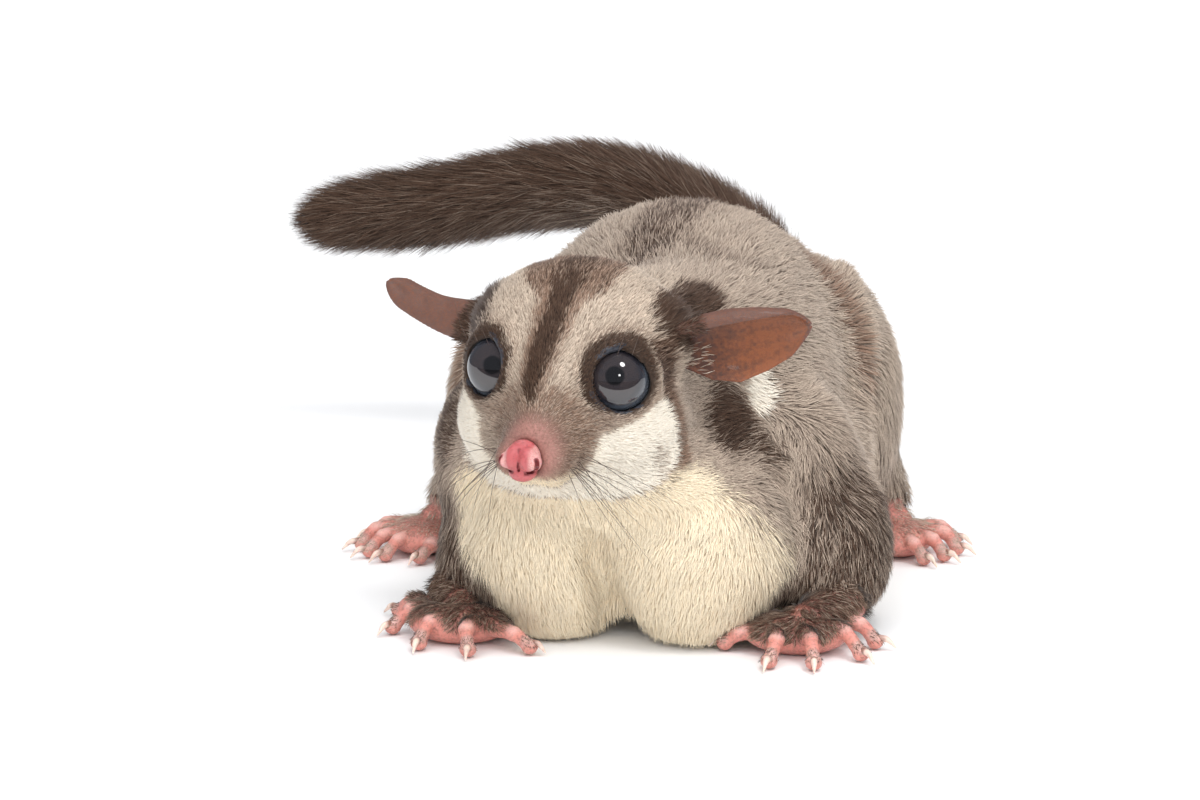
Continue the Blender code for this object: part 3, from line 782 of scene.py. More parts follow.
@dataclass(frozen=True)
class TailLine:
    """The tail's middle line, with the coat's radius at each knot."""

    knots: Table = (
        (7, 112, 23, 9.5), (13, 122, 27, 9.3), (15.5, 131, 34, 9.2), (10.5, 138, 42.5, 9.2),
        (3.2, 146.5, 47.5, 9.3), (-5.7, 154.7, 50.6, 9.4), (-16.7, 162.2, 53.2, 9.5),
        (-27.5, 166.8, 53.6, 9.6), (-38.3, 170.3, 52.3, 9.5), (-49, 172.9, 50.1, 9.1),
        (-59.7, 174.4, 47.9, 8.8), (-70.3, 174.9, 46.4, 8.0), (-79, 174.6, 45.2, 6.0),
        (-83, 174.1, 44.6, 3.2),
    )
    core: float = 0.6
    chunk: int = 20000

    def rows(self, steps: int = 160) -> Array:
        """Walks along the whole tail.

        Args:
            steps: How many rows to make.

        Returns:
            Places in the model's frame, each with the coat's radius last.
        """
        rows = spun_path(np.array(self.knots, float), steps)
        rows[:, :3] += SHIFT
        return rows

    def nearest(self, points: Array) -> tuple[Array, Array]:
        """Where places lie along the tail.

        Args:
            points: Places in millimetres.

        Returns:
            Each place's share of the way to the tip, and the tail's direction there.
        """
        rows = self.rows()
        ways = unit(np.gradient(rows[:, :3], axis=0))
        index = np.zeros(len(points), int)
        for start in range(0, len(points), self.chunk):
            some = points[start : start + self.chunk]
            gaps = np.linalg.norm(some[:, None] - rows[None, :, :3], axis=2)
            index[start : start + self.chunk] = gaps.argmin(axis=1)
        return index / (len(rows) - 1), ways[index]

    def core_mesh(self) -> bpy.types.Mesh:
        """Makes the tail under its coat.

        Returns:
            A closed mesh in metres.
        """
        rows = self.rows(60)
        rows[:, 3] *= self.core
        return rod(rows, steps=60, around=28)


TAIL = TailLine()


# Coat


@dataclass(frozen=True)
class Zone:
    """How the coat grows on one part of the body, in millimetres and degrees."""

    length: float
    width: float
    lift: float
    depth: float
    density: float


ZONES = {
    "head": Zone(2.4, 0.14, 19.0, 0.85, 14.0),
    "neck": Zone(4.0, 0.17, 18.0, 1.3, 8.2),
    "torso": Zone(4.2, 0.18, 18.0, 1.3, 5.7),
    "patagium": Zone(4.1, 0.18, 17.0, 1.2, 5.2),
    "foreleg": Zone(3.4, 0.17, 19.0, 1.0, 7.8),
    "hindleg": Zone(3.8, 0.18, 18.0, 1.0, 5.0),
    "tail": Zone(9.5, 0.17, 26.0, 0.0, 9.6),
}
ZONE_NODES = {
    "head": ("head",),
    "neck": ("neck",),
    "torso": ("torso",),
    "patagium": ("patagium_left", "patagium_right"),
    "foreleg": ("foreleg_left", "foreleg_right"),
    "hindleg": ("hindleg_left", "hindleg_right"),
    "tail": ("tail_base", "tail_middle", "tail_end"),
}
EYE_CENTRES = {Side.LEFT: (9.75, 0.0, 0.6), Side.RIGHT: (-9.75, 0.0, 0.6)}
EYE_RADIUS = 5.6
GAZES = {Side.LEFT: (17.0, 28.0), Side.RIGHT: (-5.0, 26.0)}
MARKS = ("dark", "cream", "rust", "pale", "white", "bare")


def eye_axis(side: Side, out: float = 38.0, up: float = 17.0) -> Array:
    """The way an eye stands, or with other angles in degrees looks, in the head's frame."""
    out, up = math.radians(out), math.radians(up)
    return np.array((side.value * math.sin(out) * math.cos(up), -math.cos(out) * math.cos(up), math.sin(up)))


@dataclass(frozen=True)
class Markings:
    """Where the coat is dark, cream, rusty, pale, white or bare."""

    face_stripe: Table = (
        (-1.0, -11.0, -0.4, 0.7), (-1.4, -9.4, 1.4, 1.5), (-0.9, -7.0, 5.0, 1.7), (-0.3, -3.6, 8.6, 1.9),
        (0.2, -0.2, 11.6, 1.9), (0.1, 3.0, 13.6, 2.3), (0.0, 7.0, 14.6, 3.4), (-0.4, 12.0, 15.2, 3.0),
    )
    crown: Table = (
        (-1.2, -9.4, 1.2, 2.3), (-0.6, -3.6, 8.6, 3.2), (0.2, 0.6, 12.2, 3.8), (0.2, 5.0, 14.2, 7.0),
        (-1.2, 12.0, 15.0, 8.6), (-1.6, 17.0, 14.0, 7.2), (-3.0, 26.0, 10.0, 6.0),
    )
    streak: Table = (
        (14.6, 1.4, 5.6, 1.4), (16.2, 4.0, 4.0, 2.2), (17.0, 4.2, -0.6, 2.0), (17.8, 4.0, -4.4, 1.7),
        (18.6, 3.8, -8.4, 1.5), (19.0, 2.4, -13.6, 1.4), (17.4, -1.2, -16.6, 1.0), (14.4, -4.0, -17.8, 0.8),
        (9.6, -5.6, -18.4, 0.6),
    )
    lip: Table = ((0.0, -15.6, -11.3, 0.3), (3.0, -14.4, -11.7, 0.3), (6.0, -11.4, -11.3, 0.2))
    temples: tuple[tuple, ...] = (
        ((16.6, 11.0, 7.6), (5.0, 7.0, 6.0), 0.25, 1.0), ((-15.6, 8.0, 7.4), (3.4, 5.0, 4.8), 0.35, 1.0),
        ((-14.5, 4.0, 6.5), (3.4, 4.0, 3.6), 0.4, 0.6),
    )
    shoulders: tuple[tuple, ...] = (
        ((53.0, -61.0, 19.0), (9.0, 11.0, 12.0), 0.4, 1.0),
        ((-12.0, -64.0, 17.0), (6.0, 9.0, 11.0), 0.45, 1.0),
    )
    back_stripe: Table = (
        (11.5, -62.0, 60.0, 4.0), (14.0, -45.0, 59.0, 4.5), (17.0, -27.0, 60.0, 6.0),
        (19.5, -12.0, 62.5, 6.2), (21.5, 4.0, 62.0, 5.0), (23.5, 22.0, 58.0, 3.6), (24.0, 38.0, 50.0, 2.4),
    )
    # A dark band along the fold between neck and shoulders, which joins the back stripe: painted shade in the
    # fold.
    crease: Table = (
        (21.0, -27.0, 60.5, 3.0), (28.7, -36.0, 58.3, 3.0), (34.0, -36.0, 57.5, 2.0),
        (39.0, -30.0, 55.0, 0.6),
    )
    cheek_left: Table = (
        (3.0, -14.2), (6.6, -11.6), (7.6, -9.4), (8.4, -6.6), (11.5, -5.6), (14.5, -4.4), (16.2, -2.9),
        (17.4, -3.8), (18.6, -7.0), (18.8, -10.4), (18.2, -13.0), (17.2, -15.0), (15.2, -16.4),
        (11.5, -17.2), (6.9, -17.2), (0.0, -17.0), (0.0, -13.4),
    )
    cheek_right: Table = (
        (3.0, -14.2), (7.5, -13.4), (9.6, -12.4), (10.9, -9.4), (11.2, -6.0), (13.0, -4.4), (15.4, -3.2),
        (16.6, -6.0), (17.2, -9.6), (18.2, -13.6), (18.0, -17.4), (12.6, -19.0), (7.6, -18.6),
        (0.0, -17.4), (0.0, -13.4),
    )
    chest: Table = (
        (-8.0, 27.0), (-10.0, 20.0), (-12.5, 14.0), (-12.5, -2.0), (46.5, -2.0), (46.0, 13.0), (44.5, 18.0),
        (39.5, 24.0), (35.0, 27.0), (32.0, 31.0), (22.0, 34.0), (-2.0, 33.0),
    )
    flank_line: Table = (
        (39.0, 2.0, 57.0, 1.2), (44.0, -9.0, 53.0, 2.0), (48.5, -15.0, 48.0, 2.2), (52.0, -19.0, 42.0, 2.2),
        (55.0, -23.0, 34.0, 2.0), (56.0, -23.5, 26.0, 1.6),
    )
    # The chest's cleft: the skin is pressed in along it, and its fur is darkened a little with rust as
    # painted shade.
    cleft: Table = (
        (17.6, -75.0, 3.0, 0.9), (16.8, -78.8, 8.7, 0.6), (15.1, -81.0, 15.0, 0.3), (15.0, -85.0, 20.0, 0.1),
    )
    dark_behind: tuple[tuple, ...] = (
        ((35.0, -70.0, 36.4), (4.4, 5.6, 7.6), 0.55, 1.0), ((40.0, -67.5, 31.5), (4.0, 4.6, 3.6), 0.5, 0.6),
        ((29.4, -62.0, 54.4), (4.8, 5.4, 3.2), 0.35, 1.0), ((28.4, -66.8, 53.6), (4.6, 5.0, 4.6), 0.35, 1.0),
        ((-10.8, -69.3, 34.5), (3.4, 4.4, 6.4), 0.45, 0.8), ((-9.9, -60.8, 39.0), (4.4, 5.6, 7.6), 0.55, 1.0),
        ((4.0, -57.4, 52.6), (4.8, 5.4, 3.2), 0.35, 1.0), ((1.5, -62.2, 53.9), (4.0, 5.0, 4.6), 0.35, 1.0),
    )
    white_behind: tuple[tuple, ...] = (
        ((39.6, -62.6, 40.8), (3.2, 3.8, 4.0), 0.3, 1.0), ((-6.9, -54.6, 39.8), (3.2, 3.8, 4.0), 0.3, 1.0),
    )
    mirror_plane: float = 19.5
    head_middle: Row = (0.0, 2.0, -2.0)
    head_reach: float = 44.0
    ring_radius: float = 5.3
    ring_brow: Row = (1.75, 1.2)
    nose_tip: Row = (-0.4, -15.2, -6.8)

    def rings(self, points: Array, rough: Array) -> tuple[Array, Array]:
        """The dark rings round the eyes, wider towards the brow, and the brown margins outside them.

        Args:
            points: Places in the head's frame.
            rough: How far each place's borders wander, from 0 to 1.

        Returns:
            The rings and the margins, each from 0 to 1.
        """
        ring, margin = np.zeros(len(points)), np.zeros(len(points))
        for side, brow in zip(Side, self.ring_brow):
            away = points - np.array(EYE_CENTRES[side])
            axis = eye_axis(side)
            flat = away - np.outer(away @ axis, axis)
            up = np.array((0.0, 0.0, 1.0)) - axis * axis[2]
            medial = -side.value * (flat @ np.array((1.0, 0.0, 0.0))) * 0.6 + flat @ up * 0.6
            reach = np.linalg.norm(flat, axis=1)
            edge = self.ring_radius + brow * smooth(-2.5, 2.5, medial) + 0.25 * rough
            near = smooth(14.0, 11.0, np.linalg.norm(away, axis=1))
            ring = np.maximum(ring, near * (1.0 - smooth(edge - 0.5, edge + 0.8, reach)))
            margin = np.maximum(margin, near * (1.0 - smooth(edge + 0.2, edge + 2.2, reach)))
        return ring, margin

    def face(self, points: Array) -> dict[str, Array]:
        """The head's own marks.

        Args:
            points: Places in the head's frame.

        Returns:
            The marks by name.
        """
        x, y, z = points.T
        both = np.column_stack([np.abs(x), y, z])
        from_middle = apart(points, self.head_middle)
        here = smooth(self.head_reach, 34.0, from_middle + 12.0)
        far = smooth(self.head_reach, 20.0, from_middle)
        rough = 0.5 + 0.5 * ripple(points, 4.2, 51)
        crown = band(points, self.crown, 1.2)
        stripe = band(points, self.face_stripe, 0.9) * (1.0 - 0.45 * smooth(1.0, 7.0, y) * rough)
        stripe = np.maximum(stripe, 0.42 * crown * smooth(1.0, 5.0, y))
        ring, margin = self.rings(points, rough)
        streak = band(both, self.streak, 0.9)
        streak_dark = streak * (0.3 + 0.35 * smooth(-5.0, -1.0, z))
        temple = strongest(points, self.temples)
        muzzle = np.hypot(both[:, 0] * 0.85, z + 5.6)
        snout_side = (1.0 - smooth(6.0, 8.6, muzzle)) * smooth(-2.0, -8.0, y) * smooth(-12.4, -11.2, z)
        under_eye = patch(both, (8.2, -7.4, -4.0), (3.2, 3.4, 2.4))
        lip = band(both, self.lip, 0.4)
        from_nose = np.linalg.norm((points - np.array(self.nose_tip)) * (0.9, 0.8, 0.95), axis=1)
        bare = (1.0 - smooth(3.3, 7.0, from_nose)) * smooth(-11.8, -11.0, z)
        flat = both[:, (0, 2)]
        cheeks = (outlined(flat, self.cheek_left, 0.4), outlined(flat, self.cheek_right, 0.4))
        cheek = np.where(x > 0, *cheeks)
        smudge = patch(points, (16.6, -2.0, -12.2), (1.2, 3.0, 3.6), 0.5)
        brown = [crown * 0.85, snout_side * 0.72, under_eye * 0.5, streak * 0.9, lip, margin * 0.45]
        return {
            "dark": np.maximum.reduce([stripe, ring * 0.97, temple * 0.95, streak_dark]) * here,
            "rust": np.clip(np.maximum.reduce(brown), 0, 1) * (1 - ring) * here,
            "white": cheek * smooth(4.4, 0.8, y) * (1.0 - 0.45 * smudge) * here,
            "pale": far * smooth(-7.0, 0.0, z) * (1 - cheek),
            "bare": bare * here,
        }

    def of(self, points: Array, normals: Array, zones: dict[str, Array], share: Array) -> dict[str, Array]:
        """Works out every mark of the coat.

        Args:
            points: Places in millimetres.
            normals: The way the surface faces there.
            zones: How much of each zone a place has.
            share: How far along the tail a place is.

        Returns:
            The marks by name, each from 0 to 1.
        """
        marks = self.face(HEAD.local(points))
        x, y, z = points.T
        body = 1.0 - np.clip(zones["tail"] * 1.2, 0, 1)
        other = points * (-1, 1, 1) + (2 * self.mirror_plane, 0, 0)
        # The back stripe, with a band of painted shade along the neck's fold.
        stripe = np.maximum(band(points, self.back_stripe, 3.0), band(points, self.crease, 2.4) * 0.8)
        stripe *= (1.0 - zones["head"]) * body * 0.58
        arms = np.clip(zones["foreleg"] * 1.35 - 0.1, 0, 1)
        shoulder = strongest(points, self.shoulders)
        chest = outlined(np.column_stack([x, z]), self.chest, 2.6) * smooth(-46.0, -62.0, y)
        belly = smooth(-0.25, -0.8, normals[:, 2]) * smooth(26.0, 16.0, z)
        throat = (1.0 - smooth(0, 1, marks["white"] * 2)) * smooth(34.0, 29.0, z)
        cream = np.maximum(chest * throat, belly) * (1 - np.clip(arms * 1.3, 0, 1)) * (1 - shoulder)
        cream *= 1.0 - 0.75 * zones["hindleg"]
        line = np.maximum(band(points, self.flank_line, 1.4), band(other, self.flank_line, 1.4))
        white_ear = strongest(points, self.white_behind)
        behind = strongest(points, self.dark_behind) * 0.95
        # Painted shade down the chest's cleft, carried in the rust mark.
        cleft = band(points, self.cleft, 1.2) * 0.35
        tail = np.clip(zones["tail"] * 1.3, 0, 1)
        under = smooth(0.15, -0.65, normals[:, 2]) * smooth(0.75, 0.15, share)
        legs = np.clip(zones["hindleg"] * 1.1, 0, 1) * smooth(24.0, 8.0, z)
        on_tail = tail * (0.9 - 0.55 * under)
        dark = [marks["dark"], behind, stripe, arms * 0.62, shoulder * 0.6, on_tail, legs * 0.22]
        rust = [marks["rust"], line * 0.85, tail * under, cleft, arms * 0.4]
        marks["dark"] = np.clip(np.maximum.reduce(dark), 0, 1) * (1 - white_ear)
        marks["rust"] = np.clip(np.maximum.reduce(rust), 0, 1)
        marks["cream"] = cream
        marks["white"] = np.maximum(marks["white"], white_ear)
        side_pale = smooth(0.2, 0.9, np.abs(normals[:, 0])) * 0.25 * smooth(-60.0, -30.0, y)
        soft = side_pale + 0.16 + 0.1 * ripple(points, 9.0, 3)
        marks["pale"] = np.clip(np.maximum(marks["pale"] * 0.85, soft), 0, 1) * (1 - tail)
        return marks


class Net:
    """A mesh's points with their neighbours, for numbers that run smoothly over a surface."""

    def __init__(self, mesh: bpy.types.Mesh) -> None:
        """Reads which points are joined.

        Args:
            mesh: The mesh.
        """
        ends = np.empty(len(mesh.edges) * 2, np.int32)
        mesh.edges.foreach_get("vertices", ends)
        self.low, self.high = ends.reshape(-1, 2).T
        self.count = len(mesh.vertices)
        self.near = np.maximum(np.bincount(np.concatenate([self.low, self.high]), minlength=self.count), 1)

    def even(self, values: Array, rounds: int, share: float = 0.6) -> Array:
        """Runs each point's numbers into its neighbours'.

        Args:
            values: One number or one row of numbers a point.
            rounds: How often.
            share: How much comes from the neighbours each time.

        Returns:
            The smoothed numbers.
        """
        flat = values.reshape(self.count, -1).astype(float)
        for _ in range(rounds):
            total = np.empty_like(flat)
            for k in range(flat.shape[1]):
                total[:, k] = np.bincount(self.low, flat[self.high, k], self.count)
                total[:, k] += np.bincount(self.high, flat[self.low, k], self.count)
            flat = flat * (1 - share) + total / self.near[:, None] * share
        return flat.reshape(values.shape)


@dataclass
class Ground:
    """A skin that hair grows on, with all that the hair reads from it at each point."""

    piece: bpy.types.Object = None
    points: Array = None
    normals: Array = None
    way: Array = None
    marks: dict[str, Array] = field(default_factory=dict)
    size_table: dict[str, Array] = field(default_factory=dict)
    zone_table: dict[str, Array] = field(default_factory=dict)
    uv_gap: float = 0.001

    def unwrap(self) -> None:
        """Lays the skin's own shape out flat."""
        bpy.context.view_layer.objects.active = self.piece
        self.piece.select_set(True)
        bpy.ops.object.mode_set(mode="EDIT")
        bpy.ops.mesh.select_all(action="SELECT")
        bpy.ops.uv.smart_project(angle_limit=math.radians(60), island_margin=self.uv_gap)
        bpy.ops.object.mode_set(mode="OBJECT")
        self.piece.select_set(False)
        self.piece.data.uv_layers[0].name = "OFBake"

    def sown(self, way: Array, sizes: dict[str, Array], marks: dict[str, Array]) -> "Ground":
        """Readies a bare piece for short hair.

        Args:
            way: The way the hair lies at each point, not yet along the surface.
            sizes: Length, width, lift and density at each point.
            marks: The marks that it has; the others are none.

        Returns:
            The ground itself.
        """
        self.points, self.normals = points_of(self.piece.data), normals_of(self.piece.data)
        self.way = unit(flattened(way, self.normals))
        self.size_table = sizes
        none = np.zeros(len(self.points))
        self.marks = {mark: marks.get(mark, none) for mark in MARKS}
        self.unwrap()
        return self


@dataclass
class Hide(Ground):
    """The skin under the coat: one surface in place of the flesh nodes, inside them by the coat's depth."""

    voxel: float = 0.74
    closing: float = 0.28
    share: Array = None
    nose: Row = (0.0, -17.0, -7.0)
    cuff: tuple = ((17.0, 9.5, 6.0), (4.5, 6.0, 6.5), 0.4)
    ear_spot: tuple = ((39.6, -62.6, 40.8), (4.2, 4.8, 5.0), 0.3)
    cleft_depth: float = 3.8
    cleft_width: float = 2.5
    lowest: float = 0.25
    under_fur: Row = (0.22, 0.4, 0.4)

    def flesh(self) -> list[bpy.types.Mesh]:
        """Copies the flesh nodes, each grown a little so that they meet.

        Returns:
            Their meshes and the tail's core.
        """
        grown = [TAIL.core_mesh()]
        for zone, names in ZONE_NODES.items():
            for name in names if zone != "tail" else ():
                form = bmesh.new()
                form.from_mesh(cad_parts[name].data)
                bmesh.ops.remove_doubles(form, verts=form.verts, dist=1e-6)
                form.normal_update()
                for vert in form.verts:
                    vert.co += vert.normal * self.closing * MM
                grown.append(freed(form, name))
        return grown

    def zones(self, points: Array, net: Net) -> dict[str, Array]:
        """How much of each zone every point has.

        Args:
            points: The skin's points before it sinks.
            net: The skin's neighbours.

        Returns:
            One array a zone, which add up to one.
        """
        verts, faces, owner = [], [], []
        for k, names in enumerate(ZONE_NODES.values()):
            for name in names:
                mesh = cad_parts[name].data
                base = len(verts)
                verts += [tuple(p) for p in points_of(mesh)]
                faces += [[base + i for i in poly.vertices] for poly in mesh.polygons]
                owner += [k] * len(mesh.polygons)
        tree = BVHTree.FromPolygons(verts, faces)
        nearest = np.array([owner[tree.find_nearest(Vector(p))[2]] for p in points])
        table = net.even(np.eye(len(ZONE_NODES))[nearest], 10)
        return {zone: table[:, k] for k, zone in enumerate(ZONE_NODES)}

    def blended(self, zones: dict[str, Array], size: str) -> Array:
        """One of the zones' sizes at every point."""
        return sum(weights * getattr(ZONES[zone], size) for zone, weights in zones.items())

    def lie(self, points: Array, normals: Array, zones: dict[str, Array], net: Net) -> Array:
        """The way the coat lies at each point.

        Args:
            points: Places in millimetres.
            normals: The way the surface faces.
            zones: The share of each zone.
            net: The skin's neighbours.

        Returns:
            Unit vectors along the surface.
        """
        local = HEAD.local(points)
        from_nose = unit(local - np.array((0.0, -19.0, -6.0)))
        wide = np.sign(local[:, 0])[:, None] * np.array((1.0, 0.0, 0.0))
        behind = smooth(-4.0, 10.0, local[:, 1])[:, None]
        on_head = unit(from_nose + behind * (0.0, 0.9, -0.25) + wide * 0.1) @ HEAD.turn().T
        front = np.clip(-normals[:, 1], 0, 1)[:, None] * smooth(44.0, 32.0, points[:, 2])[:, None]
        flank = np.abs(normals[:, 0])[:, None]
        middle = np.sign(points[:, 0] - 14.0)[:, None]
        on_body = np.array((0.06, 1.0, 0.0)) + flank * (0.0, 0.0, -0.75)
        on_body = on_body * (1 - front) + front * (np.array((0.0, -0.2, -1.6)) + middle * (-0.35, 0.0, 0.0))
        on_foreleg = np.tile((0.0, -0.5, -1.0), (len(points), 1))
        on_hindleg = np.tile((0.0, -0.3, -1.0), (len(points), 1))
        self.share, on_tail = TAIL.nearest(points)
        ways = {"head": on_head, "foreleg": on_foreleg, "hindleg": on_hindleg, "tail": on_tail}
        total = sum(zones[zone][:, None] * unit(ways.get(zone, on_body)) for zone in zones)
        for _ in range(3):
            total = net.even(unit(flattened(total, normals)), 5)
        return unit(flattened(total, normals))

    def from_eyes(self, local: Array) -> Array:
        """How far places of the head's frame are from the nearer eye's middle."""
        return np.minimum(*(apart(local, centre) for centre in EYE_CENTRES.values()))

    def sizes(self, points: Array, zones: dict[str, Array]) -> dict[str, Array]:
        """Length, width, lift, depth and density of the coat at each point.

        Args:
            points: Places in millimetres.
            zones: The share of each zone.

        Returns:
            The sizes by name.
        """
        made = {size: self.blended(zones, size) for size in ("length", "width", "lift", "depth", "density")}
        local = HEAD.local(points)
        by_eye = smooth(5.8, 10.5, self.from_eyes(local))
        by_nose = smooth(2.0, 15.0, apart(local, self.nose))
        face = smooth(16.0, 6.0, local[:, 1]) * zones["head"]
        made["length"] *= 1 - 0.35 * face
        made["length"] *= (0.5 + 0.5 * by_eye) * (0.3 + 0.7 * by_nose)
        made["depth"] *= (0.04 + 0.96 * by_eye) * (0.12 + 0.88 * by_nose)
        made["width"] *= (0.8 + 0.2 * by_eye) * (0.72 + 0.28 * by_nose)
        both = np.column_stack([np.abs(local[:, 0]), local[:, 1:]])
        cuff = patch(both, *self.cuff)
        made["length"] *= 1 + 0.9 * cuff
        made["lift"] *= 1 + 0.55 * cuff
        made["density"] *= 1.0 + 0.5 * face * (1.5 - 0.5 * by_nose)
        ankles = (zones["foreleg"] + zones["hindleg"]) * (1 - smooth(4.0, 12.0, points[:, 2]))
        made["length"] *= 1 - ankles * 0.45
        made["depth"] *= 1 - ankles * 0.6
        resting = smooth(1.0, 4.0, points[:, 2])
        made["lift"] *= 0.35 + 0.65 * resting
        made["depth"] *= 0.45 + 0.55 * resting
        made["length"] *= 1 - 0.35 * patch(points, *self.ear_spot)
        tip = smooth(0.86, 1.0, self.share) * zones["tail"]
        made["length"] *= 1 - 0.25 * tip
        made["lift"] *= 1 - 0.35 * tip
        return made

    def build(self) -> None:
        """Builds the skin with all that the coat reads from it."""
        mesh = fused(self.flesh(), self.voxel, 6)
        net = Net(mesh)
        points, normals = points_of(mesh), normals_of(mesh)
        self.zone_table = self.zones(points, net)
        self.share, _ = TAIL.nearest(points)
        self.size_table = self.sizes(points, self.zone_table)
        inward = net.even(normals, 8)
        depth = net.even(self.size_table["depth"], 6)
        gap, _ = path_distance(points, np.array(Markings().cleft)[:, :3])
        depth += self.cleft_depth * np.exp(-((gap / self.cleft_width) ** 2)) * smooth(30.0, 9.0, points[:, 2])
        points = net.even(points - unit(inward) * depth[:, None], 2, 0.4)
        points[:, 2] = np.maximum(points[:, 2], self.lowest)
        moved(mesh, points)
        self.points, self.normals = points, normals_of(mesh)
        self.way = self.lie(points, self.normals, self.zone_table, net)
        self.marks = Markings().of(points, self.normals, self.zone_table, self.share)
        socket = self.from_eyes(HEAD.local(points))
        breast = self.marks["cream"] * smooth(0.1, 0.5, -self.normals[:, 1])
        hidden = smooth(-0.3, -0.7, self.normals[:, 2]) * (1 - breast) * (1 - self.zone_table["tail"])
        sizes = self.size_table
        sizes["width"] *= 1 - 0.22 * breast
        sizes["length"] *= 1 - 0.15 * breast
        sizes["density"] *= (1 + 0.5 * breast) * (1 - 0.4 * hidden)
        sizes["density"] *= (1 - 0.62 * self.marks["bare"]) * smooth(5.9, 6.5, socket)
        self.piece = shown("skin", mesh)
        self.unwrap()

    def dress(self, coat: Material) -> None:
        """Gives the skin the coat's markings and finish.

        Args:
            coat: The coat's material.
        """
        mesh, marks = self.piece.data, self.marks
        paint(mesh, "marks", np.column_stack([marks[k] for k in ("dark", "cream", "rust")]))
        paint(mesh, "tones", np.column_stack([marks[k] for k in ("pale", "white", "bare")]))
        paint(mesh, "strand", np.tile(self.under_fur, (len(self.points), 1)))
        worn(self.piece, coat, Slot.FUR_GREY)
        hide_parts(*(name for names in ZONE_NODES.values() for name in names))


TUFT_FACES = 6


@dataclass
class Tufts:
    """Thin closed tufts, each a root, one or two rings of three points and a tip."""

    rings: list[Array] = field(default_factory=list)
    columns: dict[str, Array] = field(default_factory=dict)
    uv: Array = None
    stations: Row = ()
    evened: float = 0.8
    uv_wide: float = 0.0012
    uv_long: float = 0.003

    def mesh(self, name: str, chosen: Array) -> bpy.types.Mesh:
        """Builds the chosen tufts as one mesh.

        Args:
            name: The mesh's name.
            chosen: The numbers of the tufts.

        Returns:
            The mesh with its marks and its OFBake map.
        """
        count = len(chosen)
        points = np.concatenate([ring[chosen] for ring in self.rings], axis=1)
        size = points.shape[1]
        faces = [(0, 2, 1), (0, 3, 2), (0, 1, 3)]
        for base in range(1, size - 4, 3):
            for a, b in ((0, 1), (1, 2), (2, 0)):
                faces += [(base + a, base + b, base + b + 3), (base + a, base + b + 3, base + a + 3)]
        last = size - 4
        faces += [(size - 1, last + a, last + b) for a, b in ((0, 1), (1, 2), (2, 0))]
        table = (np.arange(count)[:, None, None] * size + np.array(faces)[None]).reshape(-1, 3)
        mesh = mesh_from(name, points.reshape(-1, 3), table)
        along = np.repeat(self.stations, [ring.shape[1] for ring in self.rings])
        for label in ("marks", "tones"):
            paint(mesh, label, np.repeat(self.columns[label][chosen], size, axis=0))
        strand = np.empty((count, size, 3))
        strand[:, :, 0] = along
        strand[:, :, 1] = self.columns["chance"][chosen][:, None]
        strand[:, :, 2] = self.columns["shade"][chosen][:, None]
        paint(mesh, "strand", strand.reshape(-1, 3))
        across = np.concatenate([np.zeros(1), np.tile((-1.0, 0.0, 1.0), (size - 2) // 3), np.zeros(1)])
        offset = np.column_stack([across * self.uv_wide, (along - 0.5) * self.uv_long])
        spots = np.clip(self.uv[chosen][:, None] + offset[None], 0.0, 1.0).reshape(-1, 2)
        layer = mesh.uv_layers.new(name="OFBake")
        layer.data.foreach_set("uv", spots[table.ravel()].astype(np.float32).ravel())
        ground = np.repeat(self.columns["facing"][chosen], size, axis=0)
        facing = normals_of(mesh) * (1 - self.evened) + ground * self.evened
        mesh.polygons.foreach_set("use_smooth", np.full(len(mesh.polygons), True))
        mesh.normals_split_custom_set_from_vertices(unit(facing))
        return mesh


